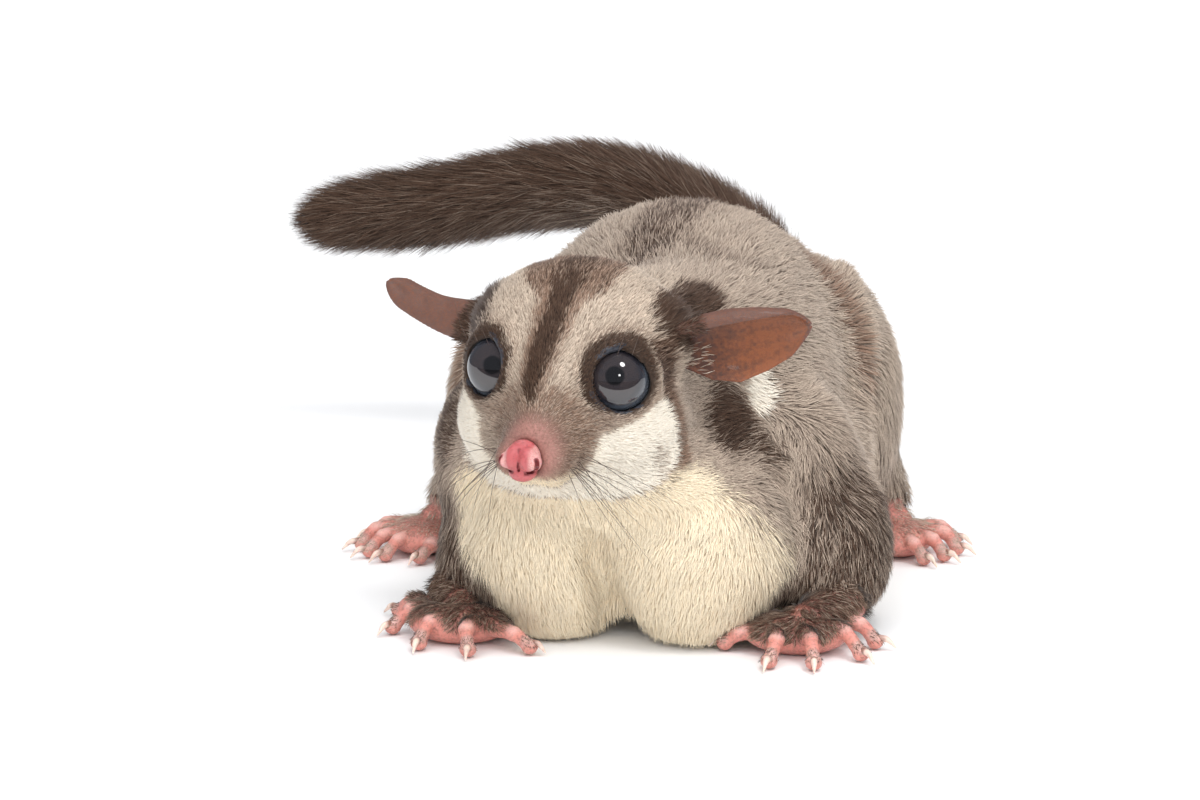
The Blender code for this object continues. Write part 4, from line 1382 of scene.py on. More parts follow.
@dataclass
class Fur:
    """The coat over the skin: it picks roots, lays each tuft along the coat's lie and draws tips together."""

    seed: int = 5
    most: int = 190000
    sunk: float = 0.35
    clump_share: float = 0.07
    clump_pull: float = 0.22
    sparse: float = 0.985
    stations: Row = (0.0, 0.38, 1.0)
    tall: float = 63.4
    flattened_above: float = 0.55
    furthest_pull: float = 0.22
    fringe_bend: float = 10.0

    def roots(self, ground: Ground) -> dict[str, Array]:
        """Picks the places where tufts grow.

        Args:
            ground: The skin.

        Returns:
            Columns of everything that a tuft takes from the skin at its root.
        """
        draw = np.random.RandomState(self.seed)
        mesh = ground.piece.data
        mesh.calc_loop_triangles()
        count = len(mesh.loop_triangles)
        corners, loops = np.empty(count * 3, np.int32), np.empty(count * 3, np.int32)
        mesh.loop_triangles.foreach_get("vertices", corners)
        mesh.loop_triangles.foreach_get("loops", loops)
        corners, loops = corners.reshape(-1, 3), loops.reshape(-1, 3)
        flat = np.empty(len(mesh.loops) * 2, np.float32)
        mesh.uv_layers["OFBake"].data.foreach_get("uv", flat)
        spots = flat.reshape(-1, 2)
        a, b, c = (ground.points[corners[:, k]] for k in range(3))
        area = np.linalg.norm(np.cross(b - a, c - a), axis=1) / 2
        expected = area * ground.size_table["density"][corners].mean(axis=1) * self.sparse
        edges = np.floor(np.cumsum(expected) + draw.uniform()).astype(int)
        owner = np.repeat(np.arange(count), np.diff(edges, prepend=0))
        first, second = draw.uniform(size=(2, len(owner)))
        flip = first + second > 1
        first, second = np.where(flip, 1 - first, first), np.where(flip, 1 - second, second)
        weights = np.column_stack([1 - first - second, first, second])

        def at(values: Array, index: Array = corners) -> Array:
            """Carries numbers of the skin's points to the roots."""
            picked = values[index[owner]]
            return (picked * weights.reshape(weights.shape + (1,) * (picked.ndim - 2))).sum(axis=1)

        made = {"place": at(ground.points), "normal": unit(at(ground.normals)), "way": unit(at(ground.way))}
        made |= {size: at(ground.size_table[size]) for size in ("length", "width", "lift")}
        made |= {mark: at(values) for mark, values in ground.marks.items()}
        made |= {"zone_" + zone: at(values) for zone, values in ground.zone_table.items()}
        made["uv"] = at(spots, loops)
        return made

    def markings(self, roots: dict[str, Array], draw: np.random.RandomState) -> dict[str, Array]:
        """Lets each tuft take a mark or leave it, so that colours run into each other hair by hair.

        Args:
            roots: The roots' columns.
            draw: The source of chance.

        Returns:
            Columns for the tufts' material.
        """
        count = len(roots["place"])
        chance = draw.uniform(size=count)

        def taken(name: str) -> Array:
            """How much of a mark each tuft shows."""
            return smooth(chance - 0.38, chance + 0.38, roots[name] * 1.38 - 0.19)

        patchy = 0.5 + 0.28 * ripple(roots["place"], 3.1, 21) + 0.16 * ripple(roots["place"], 1.3, 22)
        return {
            "marks": np.column_stack([taken(k) for k in ("dark", "cream", "rust")]),
            "tones": np.column_stack([taken("pale"), taken("white"), roots["bare"] * 0.6]),
            "chance": draw.uniform(size=count),
            "facing": roots["normal"],
            "shade": np.clip(patchy + draw.normal(0, 0.12, count), 0, 1),
        }

    def grow(self, roots: dict[str, Array], stations: Row, bend: float, seed: int) -> Tufts:
        """Shapes a tuft at every root.

        Args:
            roots: The roots' columns.
            stations: Where along a tuft its rings stand, with 0 first and 1 last.
            bend: How many degrees it leans back towards the skin on its way.
            seed: The seed of its chance.

        Returns:
            The tufts.
        """
        draw = np.random.RandomState(seed)
        place, normal, way = roots["place"], roots["normal"], roots["way"]
        count = len(place)
        side = np.cross(normal, way)
        swirl = draw.normal(0, 0.17, count) + 0.16 * ripple(place, 5.0, 31)
        ahead = way * np.cos(swirl)[:, None] + side * np.sin(swirl)[:, None]
        side = np.cross(normal, ahead)
        length = roots["length"] * draw.uniform(0.72, 1.16, count)
        lift = roots["lift"] * (draw.uniform(0.7, 1.35, count) + 0.16 * ripple(place, 4.0, 32))
        centres, spot = [], place - normal * self.sunk
        for low, high in zip(stations[:-1], stations[1:]):
            slope = np.radians(np.maximum(lift + bend * (0.4 - (low + high) / 2), 2.0))[:, None]
            step = (ahead * np.cos(slope) + normal * np.sin(slope)) * ((high - low) * length)[:, None]
            spot = (place if low == 0 else spot) + step
            centres.append(spot)
        pull = self.gathered(centres[-1], roots["length"])
        width = roots["width"] * draw.uniform(0.7, 1.3, count)
        rings = [(place - normal * self.sunk)[:, None]]
        for station, centre in zip(stations[1:-1], centres[:-1]):
            centre = centre + pull * station**2
            half = (width * (1.05 - 0.75 * abs(station - 0.35)) / 2)[:, None]
            corners = [centre + side * half, centre + normal * half * 0.7, centre - side * half]
            rings.append(np.stack(corners, axis=1))
        tip = centres[-1] + pull
        tip[:, 2] = np.maximum(tip[:, 2], 0.15)
        rings.append(tip[:, None])
        for ring in rings:
            ring[:, :, 2] = np.maximum(ring[:, :, 2], 0.1)
            ring[:, :, 2] -= np.maximum(ring[:, :, 2] - self.tall, 0.0) * self.flattened_above
        return Tufts(rings, self.markings(roots, draw), roots["uv"], stations)

    def gathered(self, tips: Array, length: Array) -> Array:
        """How far each tip moves to its clump's own tip.

        Args:
            tips: The tufts' tips.
            length: Their lengths.

        Returns:
            One move a tuft.
        """
        step = max(int(1 / self.clump_share), 1)
        centres = tips[::step]
        tree = KDTree(len(centres))
        for k, centre in enumerate(centres):
            tree.insert(centre, k)
        tree.balance()
        moves = np.array([tree.find(tip)[0] for tip in tips]) - tips
        reach = np.linalg.norm(moves, axis=1, keepdims=True)
        most = length[:, None] * self.furthest_pull
        return moves * self.clump_pull * np.minimum(1.0, most / np.maximum(reach, 1e-6))

    def lay(self, group: dict[str, Array], name: str, bend: float, slot: Slot, coat: Material) -> int:
        """Grows one part of the coat, in as many pieces as its triangles ask for.

        Args:
            group: The roots' columns.
            name: The part's name.
            bend: How many degrees its tufts lean back.
            slot: The record's slot for it.
            coat: The coat's material.

        Returns:
            How many triangles it has.
        """
        count = len(group["place"])
        tufts = self.grow(group, self.stations, bend, self.seed + len(name))
        parts = math.ceil(count * TUFT_FACES / self.most)
        order = np.argsort(group["place"][:, 1], kind="stable")
        for k, numbers in enumerate(np.array_split(order, parts)):
            piece = shown(f"{name}_{k + 1}", tufts.mesh(f"{name}_{k + 1}", numbers))
            worn(piece, coat, slot)
        LOG.info("%s: %d tufts in %d pieces", name, count, parts)
        return count * TUFT_FACES

    def build(self, hide: Hide, coat: Material) -> None:
        """Builds every piece of the coat.

        Args:
            hide: The skin.
            coat: The coat's material.
        """
        roots = self.roots(hide)
        on_tail = roots["zone_tail"] > 0.5
        on_head = (roots["zone_head"] > 0.5) & ~on_tail
        on_legs = (roots["zone_foreleg"] + roots["zone_hindleg"] > 0.5) & ~on_tail
        groups = {
            "fur_head": (on_head, 16.0, Slot.FUR_GREY),
            "fur_legs": (on_legs, 16.0, Slot.FUR_DARK),
            "fur_body": (~(on_head | on_legs | on_tail), 18.0, Slot.FUR_GREY),
            "fur_tail": (on_tail, 22.0, Slot.FUR_DARK),
        }
        total = 0
        for name, (chosen, bend, slot) in groups.items():
            group = {key: values[chosen] for key, values in roots.items()}
            total += self.lay(group, name, bend, slot, coat)
        LOG.info("coat: %d triangles", total)

    def fringe(self, ground: Ground, name: str, slot: Slot, coat: Material) -> None:
        """Grows the short hair of a bare piece.

        Args:
            ground: The bare piece.
            name: The hair's name.
            slot: The record's slot for it.
            coat: The coat's material.
        """
        self.lay(self.roots(ground), name, self.fringe_bend, slot, coat)


# Head pieces


@dataclass
class Eye:
    """One eyeball with its lids."""

    side: Side
    bulge: float = 0.035
    lid_radius: float = 5.4
    lid_thick: float = 0.72
    lid_out: float = 2.75
    corner: float = 0.75
    corner_turn: float = 0.35
    steps: int = 96
    around: int = 14

    def ball(self, finish: Material) -> None:
        """Builds the eyeball in place of its node.

        Args:
            finish: The finish of the eye.
        """
        form = bmesh.new()
        bmesh.ops.create_uvsphere(form, u_segments=72, v_segments=48, radius=1.0)
        axis = eye_axis(self.side)
        for vert in form.verts:
            way = np.array(vert.co)
            ahead = max(float(way @ axis), 0.0)
            vert.co = Vector(way) * (EYE_RADIUS * (1 - self.bulge + self.bulge * ahead**6)) * MM
        mesh = freed(form, "eye")
        gaze = eye_axis(self.side, *GAZES[self.side])
        off = np.arccos(np.clip(unit(points_of(mesh)) @ gaze, -1, 1)) / (math.pi / 2)
        mesh.transform(Matrix.Translation(Vector(EYE_CENTRES[self.side]) * MM))
        piece = shown(f"eyeball_{self.side.word}", HEAD.placed(mesh))
        tinted(piece, off, 0.0, finish, Slot.EYE_BLACK)
        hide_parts(f"eye_{self.side.word}")

    def lids(self, finish: Material) -> None:
        """Builds the dark rim, drawn out to a corner towards the nose and one towards the ear.

        Args:
            finish: The finish of the lids.
        """
        axis = eye_axis(self.side)
        centre = np.array(EYE_CENTRES[self.side]) + axis * self.lid_out
        across = unit(np.cross((0.0, 0.0, 1.0), axis))
        up = np.cross(axis, across)
        points = []
        for i in range(self.steps):
            angle = 2 * math.pi * i / self.steps
            drawn = self.corner * abs(math.cos(angle + self.corner_turn)) ** 14
            way = across * math.cos(angle) + up * math.sin(angle)
            ring = centre + way * (self.lid_radius + drawn) - axis * drawn * 0.9
            thick = self.lid_thick * (1.0 + 0.16 * math.sin(angle))
            for j in range(self.around):
                turn = 2 * math.pi * j / self.around
                wave = 1 + 0.05 * math.sin(9 * angle + 2 * turn)
                out = way * math.cos(turn) * 0.9 + axis * math.sin(turn) * 1.1
                points.append(ring + out * thick * wave)
        grid = np.arange(self.steps * self.around).reshape(self.steps, self.around)
        after = np.roll(grid, -1, axis=0)
        corners = [grid, after, np.roll(after, -1, axis=1), np.roll(grid, -1, axis=1)]
        form = bmesh.new()
        form.from_mesh(mesh_from("rim", np.array(points), np.stack(corners).reshape(4, -1).T))
        bmesh.ops.recalc_face_normals(form, faces=form.faces)
        piece = shown(f"lids_{self.side.word}", HEAD.placed(freed(form, "lids")))
        # Random speckle over the rim: it varies the rim's dark tone, and a share of it mixes in a pale bluish
        # grey, a painted sheen.
        speckle_and_sheen = np.random.RandomState(4).uniform(size=len(points))
        tinted(piece, speckle_and_sheen, speckle_and_sheen * 0.4, finish, Slot.EYE_BLACK)


@dataclass
class NosePad:
    """The bare pad of the nose: two lobes, a groove between them, two wings made pale by a painted highlight
    and comma nostrils; the groove and nostrils are darkened as painted shade.
    """

    middle: float = -0.75
    voxel: float = 0.15
    fine_voxel: float = 0.10
    nostril: Table = (
        (1.2, -9.4, 0.22), (2.0, -9.35, 0.36), (2.7, -8.9, 0.4), (3.15, -8.0, 0.36), (3.0, -7.1, 0.24),
    )
    groove: Table = ((0.0, -5.8, 0.12), (0.0, -8.0, 0.2), (0.0, -11.2, 0.3))
    pressed: float = 0.12

    def line(self, tree: BVHTree, rows: Table, side: int) -> Array:
        """Presses a line drawn for the animal's left into the front of the pad.

        Args:
            tree: The pad's surface.
            rows: How far to the side, how high and how thick the line is at each knot.
            side: 1, or -1 to set the line on the animal's right.

        Returns:
            The line's knots with radii.
        """
        knots = []
        for across, height, radius in rows:
            x = self.middle + side * across
            front = tree.ray_cast(Vector((x, -40.0, height)), Vector((0.0, 1.0, 0.0)))[0]
            knots.append((x, front.y + self.pressed, height, radius))
        return np.array(knots)

    def build(self, finish: Material) -> None:
        """Builds the pad in place of its node.

        Args:
            finish: The skin of the nose.
        """
        forms = [ball((self.middle, -14.8, -8.0), (2.8, 2.5, 3.1))]
        forms.append(ball((self.middle, -15.5, -9.9), (2.3, 2.0, 1.6)))
        for side in (1, -1):
            forms.append(ball((self.middle + side * 1.1, -15.9, -7.5), (1.5, 2.1, 2.15), side * 10))
            forms.append(ball((self.middle + side * 2.2, -15.9, -7.9), (1.2, 1.9, 1.35), side * 20))
        pad = fused(forms, self.voxel, 5)
        faces = [tuple(face.vertices) for face in pad.polygons]
        tree = BVHTree.FromPolygons([tuple(place) for place in points_of(pad)], faces)
        lines = [self.line(tree, self.nostril, side) for side in (1, -1)] + [self.line(tree, self.groove, 1)]
        for line in lines:
            pad = carved(pad, rod(line, 16, 12))
        pad = fused([pad], self.fine_voxel, 1)
        local = points_of(pad)
        gaps = [path_distance(local, line[:, :3])[0] for line in lines]
        # The nostrils and the groove are darkened: painted shade in their hollows.
        nostrils = smooth(0.62, 0.34, np.minimum(*gaps[:2]))
        depth = np.maximum(nostrils, 0.7 * smooth(0.42, 0.2, gaps[2]))
        across = np.abs(local[:, 0] - self.middle)
        # A painted highlight on the wings beside the nostrils; the top of the pad is made a little paler too.
        wear_and_highlight = smooth(1.5, 2.3, across) * smooth(-9.6, -8.6, local[:, 2])
        wear_and_highlight = np.maximum(wear_and_highlight, 0.25 * smooth(-5.4, -4.6, local[:, 2])) * (1 - depth)
        piece = shown("nose_pad", HEAD.placed(pad))
        tinted(piece, depth, wear_and_highlight, finish, Slot.NOSE_PINK)
        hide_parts("nose")


@dataclass
class Ear:
    """One thin cupped ear with a rolled upper rim and a blunt, crinkled tip."""

    side: Side
    root: Row
    tip: Row
    opening: Row
    arch: float
    stations: Table
    blunt: float = 0.84
    rolled: float = 0.35
    buried: float = 3.6
    hairy: float = 0.20
    thick: float = 0.5
    voxel: float = 0.2
    rows: int = 64
    columns: int = 56

    def section(self, share: float) -> tuple[Array, Array]:
        """The ear's cross-section at a share of the way to the tip.

        Args:
            share: 0 at the root and 1 at the tip.

        Returns:
            How far across and how far into the cup each of the sheet's points lies, in millimetres.
        """
        table = np.array(self.stations, float)
        upper, lower, cup, roll = (np.interp(share, table[:, 0], table[:, k]) for k in range(1, 5))
        ending = math.sqrt(max(1.0 - max((share - self.blunt) / (1.0 - self.blunt), 0.0) ** 2, 0.01))
        t = np.linspace(-1.0, 1.0, self.columns)
        rim = smooth(self.rolled, 1.0, -t)
        angle = np.radians(np.where(t < 0, cup * t - roll * rim, cup * t))
        step = np.where(t < 0, upper, lower) * ending * (t[1] - t[0])
        across, inward = np.cumsum(np.cos(angle) * step), np.cumsum(np.sin(angle) * step)
        middle = self.columns // 2
        return across - across[middle], inward - inward[middle]

    def ways(self) -> tuple[Array, Array, Array]:
        """Finds how the ear stands.

        Returns:
            The ways from its root to its tip, into its cup, and across.
        """
        along = unit(np.array(self.tip) - np.array(self.root))
        inner = unit(flattened(np.array([self.opening]), along[None]))[0]
        return along, inner, np.cross(along, inner)

    def sheet(self) -> Array:
        """Bends the ear's sheet, without its thickness.

        Returns:
            Rows of places from the root to the tip, in the head's frame.
        """
        root, tip = np.array(self.root), np.array(self.tip)
        along, inner, side = self.ways()
        t = np.linspace(-1.0, 1.0, self.columns)
        rows = []
        for share in np.linspace(0.0, 1.0, self.rows):
            across, inward = self.section(share)
            bow = np.array((0.0, 0.0, -self.arch * math.sin(math.pi * share)))
            centre = root + (tip - root) * share - along * self.buried * (1 - share) + bow
            crinkle = 0.10 * np.sin(30 * share + 2 * t) * (1 - np.abs(t)) + 0.16 * np.sin(7 * t) * share**2
            row = centre + np.outer(across, side) + np.outer(inward + crinkle, inner)
            rows.append(row + np.outer(0.3 * np.sin(9 * t + 1.0) * share**4, along))
        return np.array(rows)

    def leaf(self, rows: Array) -> bpy.types.Mesh:
        """Gives the sheet its thickness.

        Args:
            rows: The sheet's places.

        Returns:
            The closed leaf in the head's frame.
        """
        grid = np.arange(self.rows * self.columns).reshape(self.rows, self.columns)
        faces = np.stack([grid[:-1, :-1], grid[:-1, 1:], grid[1:, 1:], grid[1:, :-1]]).reshape(4, -1).T
        sheet = shown("ear", mesh_from("ear", rows.reshape(-1, 3), faces))
        skin = sheet.modifiers.new("Skin", "SOLIDIFY")
        skin.thickness = self.thick * MM
        skin.offset = 0.0
        return fused([settled(sheet)], self.voxel, 3)

    def spread(self, rows: Array, mesh: bpy.types.Mesh) -> tuple[Array, Array, Array]:
        """Finds where each of the leaf's points lies on the ear.

        Args:
            rows: The sheet's places.
            mesh: The leaf.

        Returns:
            The share of the way to the tip, the place across from -1 to 1, and 1 on the back of the ear.
        """
        along, inner, _ = self.ways()
        places, local = rows.reshape(-1, 3), points_of(mesh)
        length = np.linalg.norm(np.array(self.tip) - np.array(self.root))
        share = np.clip((local - np.array(self.root)) @ along / length, 0, 1)
        tree = KDTree(len(places))
        for k, place in enumerate(places):
            tree.insert(place, k)
        tree.balance()
        nearest = np.array([tree.find(place)[1] for place in local])
        cupward = np.cross(np.gradient(rows, axis=1), np.gradient(rows, axis=0)).reshape(-1, 3)
        cupward = unit(cupward) * np.sign(np.median(cupward @ inner))
        outside = smooth(0.25, -0.25, np.sum(normals_of(mesh) * cupward[nearest], axis=1))
        return share, np.linspace(-1.0, 1.0, self.columns)[nearest % self.columns], outside

    def build(self, finish: Material) -> Ground:
        """Builds the ear in place of its node.

        Args:
            finish: The skin of the ear.

        Returns:
            The ear, ready for the hair at its root.
        """
        rows = self.sheet()
        mesh = self.leaf(rows)
        share, t, outside = self.spread(rows, mesh)
        ridges = smooth(0.55, 1.0, np.abs(np.sin(9.0 * t + 2.2 * share))) * smooth(0.1, 0.5, share)
        # Inside the cup, darker towards the root: painted shade in the ear's hollow, with ridges of darker
        # colour for the veins.
        root_shade_and_veins = 0.9 * smooth(0.62, 0.05, share) + 0.22 * ridges
        depth = np.clip(outside * 0.35 + root_shade_and_veins * (1 - outside), 0, 1)
        wear_and_highlight = 0.3 * smooth(0.6, 1.0, share) * (1 - outside) + 0.9 * outside
        piece = shown(f"ear_skin_{self.side.word}", HEAD.placed(mesh))
        tinted(piece, depth, wear_and_highlight, finish, Slot.SKIN_EAR)
        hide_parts(f"ear_{self.side.word}")
        near = smooth(self.hairy, 0.05, share)
        even = np.ones(len(share))
        pale = (1 - outside) * smooth(0.1, 0.5, t)
        sizes = {"length": 1.1 + 1.4 * near, "width": 0.12 * even, "lift": 20.0 * even}
        sizes["density"] = 11.0 * near * np.maximum(outside, 0.15 * pale)
        marks = {"dark": 0.9 * outside, "rust": 0.4 * even, "pale": pale, "white": 0.15 * pale}
        way = np.tile(self.ways()[0] @ HEAD.turn().T, (len(share), 1))
        return Ground(piece).sown(way, sizes, marks)


EARS = (
    Ear(Side.LEFT, (17.6, 11.5, 3.4), (36.2, 18.0, 5.4), (0.1, -0.9, -0.1), -0.7,
        ((0.0, 4.2, 2.0, 62.0, 90.0), (0.12, 6.0, 4.8, 58.0, 110.0), (0.3, 7.6, 7.6, 50.0, 120.0),
         (0.48, 7.8, 8.7, 46.0, 120.0), (0.68, 6.8, 7.2, 38.0, 110.0), (0.85, 5.4, 5.2, 30.0, 90.0),
         (1.0, 3.4, 2.6, 24.0, 50.0))),
    Ear(Side.RIGHT, (-17.6, 11.5, 5.4), (-36.2, 18.0, 6.2), (0.1, 0.5, -0.87), 1.5,
        ((0.0, 6.8, 6.2, 62.0, 40.0), (0.3, 4.9, 5.0, 52.0, 40.0), (0.6, 2.9, 4.0, 42.0, 40.0),
         (0.85, 2.6, 3.3, 34.0, 30.0), (1.0, 3.0, 2.8, 26.0, 20.0))),
)


@dataclass
class Whiskers:
    """Long curved hairs of the muzzle and brow."""

    each_side: int = 11
    each_brow: int = 3
    seed: int = 8
    shortest: float = 10.0
    longest: float = 17.0
    thick: float = 0.075
    brow_thick: float = 0.05

    def muzzle_hair(self, side: int, share: float, draw: np.random.RandomState) -> bpy.types.Mesh:
        """Makes one whisker of the muzzle.

        Args:
            side: 1 for the animal's left and -1 for its right.
            share: How far back on the muzzle it stands, from 0 to 1.
            draw: The source of chance.

        Returns:
            The whisker in the head's frame.
        """
        start = (side * (4.6 + 2.4 * share), -12.4 + 3.4 * share, -8.4 - 2.2 * math.sin(3 * share))
        length = draw.uniform(self.shortest, self.longest)
        across = side * (0.75 + 0.2 * draw.normal())
        out = unit(np.array((across, -0.15 + 0.35 * share, -0.35 + 0.3 * draw.normal())))
        knots = []
        for t in (0.0, 0.3, 0.65, 1.0):
            sag = np.array((0, 0.22 * t * t, -0.34 * t * t))
            knots.append((*(np.array(start) + out * length * t + sag * length), self.thick * (1 - 0.8 * t)))
        return rod(knots, 14, 5, pointed=True)

    def brow_hair(self, side: int, number: int) -> bpy.types.Mesh:
        """Makes one hair over an eye.

        Args:
            side: 1 for the animal's left and -1 for its right.
            number: Which of the brow's hairs, counted outwards.

        Returns:
            The hair in the head's frame.
        """
        start = np.array((side * (9.5 + 2.2 * number), -5.4 + 0.8 * number, 6.6))
        rise = np.array((side * 2.2, -1.0, 6.0))
        knots = []
        for t in (0.0, 0.5, 1.0):
            knots.append((*(start + rise * t + (0, 2.0 * t * t, 0)), self.brow_thick * (1 - 0.7 * t)))
        return rod(knots, 10, 5, pointed=True)

    def build(self, finish: Material) -> None:
        """Builds all whiskers as one piece.

        Args:
            finish: The finish of the whiskers.
        """
        draw = np.random.RandomState(self.seed)
        form = bmesh.new()
        for side in (1, -1):
            for share in np.arange(self.each_side) / (self.each_side - 1):
                form.from_mesh(self.muzzle_hair(side, share, draw))
            for number in range(self.each_brow):
                form.from_mesh(self.brow_hair(side, number))
        worn(shown("whiskers", HEAD.placed(freed(form, "whiskers"))), finish, Slot.FUR_DARK)


# Paws


@dataclass
class Paw:
    """One bare foot with its claws."""

    name: str
    wrist: list[Row]
    palm: tuple[Row, Row]
    digits: list[list[Row]]
    claws: list[Row]
    hair: float = 1.0
    voxel: float = 0.26

    def build(self, skin: Material) -> Ground:
        """Builds the foot in place of its node.

        Args:
            skin: The bare skin.

        Returns:
            The foot, ready for the short hair on its back.
        """
        forms = [ball(*self.palm), rod([(*p, r) for p, r in zip(self.wrist, (4.4, 4.1, 3.1))], 14, 20)]
        joints = []
        for digit in self.digits:
            forms.append(rod([(*p, r) for p, r in zip(digit, (1.75, 1.2, 1.1))], 16, 16))
            for joint, height in ((digit[-1], 1.25), (digit[1], 1.3)):
                forms.append(ball(joint, (1.42, 1.42, height), fine=20))
                joints.append(np.array(joint) + (0, 0, 0.8))
        mesh = fused(forms, self.voxel, 4)
        local, facing = points_of(mesh), normals_of(mesh)
        local[:, 2] = np.maximum(local[:, 2], 0.0)
        moved(mesh, local + SHIFT)
        gap = np.min([apart(local, joint) for joint in joints], axis=0)
        ends = np.array([digit[-1] for digit in self.digits])
        reach = np.linalg.norm(local[:, None] - ends[None], axis=2)
        back = smooth(3.4, 8.2, reach.min(axis=1)) * smooth(-0.5, 0.35, facing[:, 2])
        fold = smooth(0.75, 0.25, np.abs(reach.min(axis=1) - 1.75)) * smooth(-0.2, 0.5, facing[:, 2])
        depth = 0.10 + 0.6 * back * (0.15 + 0.85 * self.hair) + 0.45 * fold + 0.09 * ripple(local, 2.4, 41)
        wear_and_highlight = 0.7 * smooth(1.9, 0.8, gap) * (1 - back)
        piece = shown(f"paw_{self.name}", mesh)
        tinted(piece, np.clip(depth, 0, 1), wear_and_highlight, skin, Slot.SKIN_PINK)
        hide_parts(self.name)
        way = ends[reach.argmin(axis=1)] - np.array(self.wrist[1])
        even = np.ones(len(local))
        sizes = {"length": 0.9 + 1.3 * back, "width": 0.11 + 0.03 * back, "lift": 16.0 * even}
        sizes["density"] = 15.0 * self.hair * smooth(0.16, 0.7, back) + 8.0 * fold
        marks = {"dark": self.hair * (0.1 + 0.5 * back**2) + 0.6 * self.hair * fold}
        marks |= {"rust": 0.8 * self.hair * even, "pale": (1 - self.hair) * even}
        return Ground(piece).sown(way, sizes, marks)

    def nails(self, horn: Material) -> None:
        """Builds the foot's claws.

        Args:
            horn: The finish of the claws.
        """
        form = bmesh.new()
        starts = []
        for digit, claw in zip(self.digits, self.claws):
            start, end = np.array(digit[-1]) + (0, 0, 0.45), np.array(claw)
            middle = start + (end - start) * 0.55 + (0, 0, 0.75)
            form.from_mesh(rod([(*start, 0.72), (*middle, 0.5), (*end, 0.14)], 14, 12, pointed=True))
            starts.append(start + SHIFT)
        mesh = freed(form, "claws")
        mesh.transform(Matrix.Translation(Vector(SHIFT) * MM))
        gap = np.min([apart(points_of(mesh), start) for start in starts], axis=0)
        tinted(shown(f"claws_{self.name}", mesh), smooth(2.1, 1.1, gap), 0.0, horn, Slot.SKIN_PINK)


PAWS = (
    Paw("forefoot_left", [(38, 16, 7), (36, 13, 5), (31, 7, 3.6)], ((31, 6.5, 2.9), (8.5, 5.6, 3.3)),
        [[(26, 6.5, 3.4), (22, 4.6, 3.0), (19.6, 5.2, 1.3)],
         [(28, 4, 3.6), (28.6, -1.4, 3.7), (27.8, -5.2, 1.2)],
         [(32, 4, 3.8), (33.9, -1.0, 4.0), (34.9, -5.2, 1.2)],
         [(35.5, 7, 3.8), (39.0, 4.0, 4.0), (41.9, 1.4, 1.2)],
         [(36.5, 11, 3.8), (41.0, 10.4, 3.8), (43.6, 9.6, 1.2)]],
        [(17.0, 5.8, 0.5), (27.3, -9.0, 0.4), (35.3, -8.9, 0.4), (44.2, -1.6, 0.4), (47.0, 9.0, 0.4)]),
    Paw("forefoot_right", [(-26, 15, 7), (-25, 12, 5), (-24, 7, 3.6)], ((-24, 6, 2.9), (8.5, 5.6, 3.3)),
        [[(-19, 3, 3.4), (-14, -0.6, 3.0), (-11.2, -1.8, 1.3)],
         [(-21, 2, 3.6), (-21.5, -2.0, 3.8), (-20.8, -4.6, 1.2)],
         [(-25, 4, 3.8), (-28.0, 1.6, 4.0), (-29.4, -1.4, 1.2)],
         [(-28, 8, 3.8), (-32.6, 9.6, 4.0), (-35.6, 8.4, 1.2)],
         [(-28, 11, 3.8), (-33.4, 16.4, 3.8), (-36.6, 19.4, 1.2)]],
        [(-8.6, -2.2, 0.5), (-20.6, -8.0, 0.4), (-29.7, -4.9, 0.4), (-37.6, 5.6, 0.4), (-39.6, 21.4, 0.4)]),
    Paw("hindfoot_left", [(39, 84, 9), (40, 84, 6), (43, 82, 4)], ((43, 80, 2.8), (6.2, 8.5, 3.2)),
        [[(40, 76, 3.0), (39.5, 71.5, 2.8), (41, 68.4, 1.3)],
         [(44, 75, 3.4), (46, 72.0, 3.4), (48, 70.4, 1.2)],
         [(46, 77, 3.6), (49.2, 75.2, 3.6), (51.4, 73.6, 1.2)],
         [(47, 80, 3.6), (51, 80.0, 3.8), (53.4, 79.2, 1.2)],
         [(46, 84, 3.4), (50, 86.0, 3.6), (52.6, 86.6, 1.2)]],
        [(42.4, 65.6, 0.5), (50.4, 67.6, 0.4), (54.4, 71.4, 0.4), (56.8, 78.2, 0.4), (55.8, 86.2, 0.4)], 0.2),
    Paw("hindfoot_right", [(-37, 74, 9), (-38, 74, 6), (-41, 72, 4)], ((-42, 70, 2.8), (6.2, 8.5, 3.2)),
        [[(-39, 66, 3.0), (-39, 61.5, 2.8), (-40.5, 58.4, 1.3)],
         [(-43, 65, 3.4), (-45, 62.0, 3.4), (-47, 60.0, 1.2)],
         [(-45, 67, 3.6), (-48.2, 64.4, 3.6), (-50.4, 62.6, 1.2)],
         [(-46, 70, 3.6), (-50.4, 69.0, 3.8), (-52.8, 67.8, 1.2)],
         [(-45, 74, 3.4), (-49.6, 75.0, 3.6), (-52.2, 75.4, 1.2)]],
        [(-42.0, 55.6, 0.5), (-49.4, 57.2, 0.4), (-53.4, 60.4, 0.4), (-56.2, 66.6, 0.4), (-55.4, 75.0, 0.4)],
        0.2),
)


# Studio


@dataclass(frozen=True)
class Lamp:
    """A soft lamp that looks at the animal."""

    name: str
    azimuth: float
    height: float
    away: float
    size: float
    power: float
    mirrored: bool

    def build(self, aim: Vector) -> None:
        """Hangs the lamp, or where it has no distance, sets a sky of its width in degrees.

        Args:
            aim: What it shines on.
        """
        turn, rise = math.radians(self.azimuth), math.radians(self.height)
        way = Vector((math.sin(turn) * math.cos(rise), -math.cos(turn) * math.cos(rise), math.sin(rise)))
        light = bpy.data.lights.new(self.name, "AREA" if self.away else "SUN")
        if self.away:
            light.shape = "DISK"
            light.size = self.size
        else:
            light.angle = math.radians(self.size)
        light.energy = self.power
        lamp = bpy.data.objects.new(self.name, light)
        lamp.location = aim + way * self.away
        lamp.rotation_euler = (-way).to_track_quat("-Z", "Y").to_euler()
        lamp.visible_glossy = self.mirrored
        bpy.context.scene.collection.objects.link(lamp)


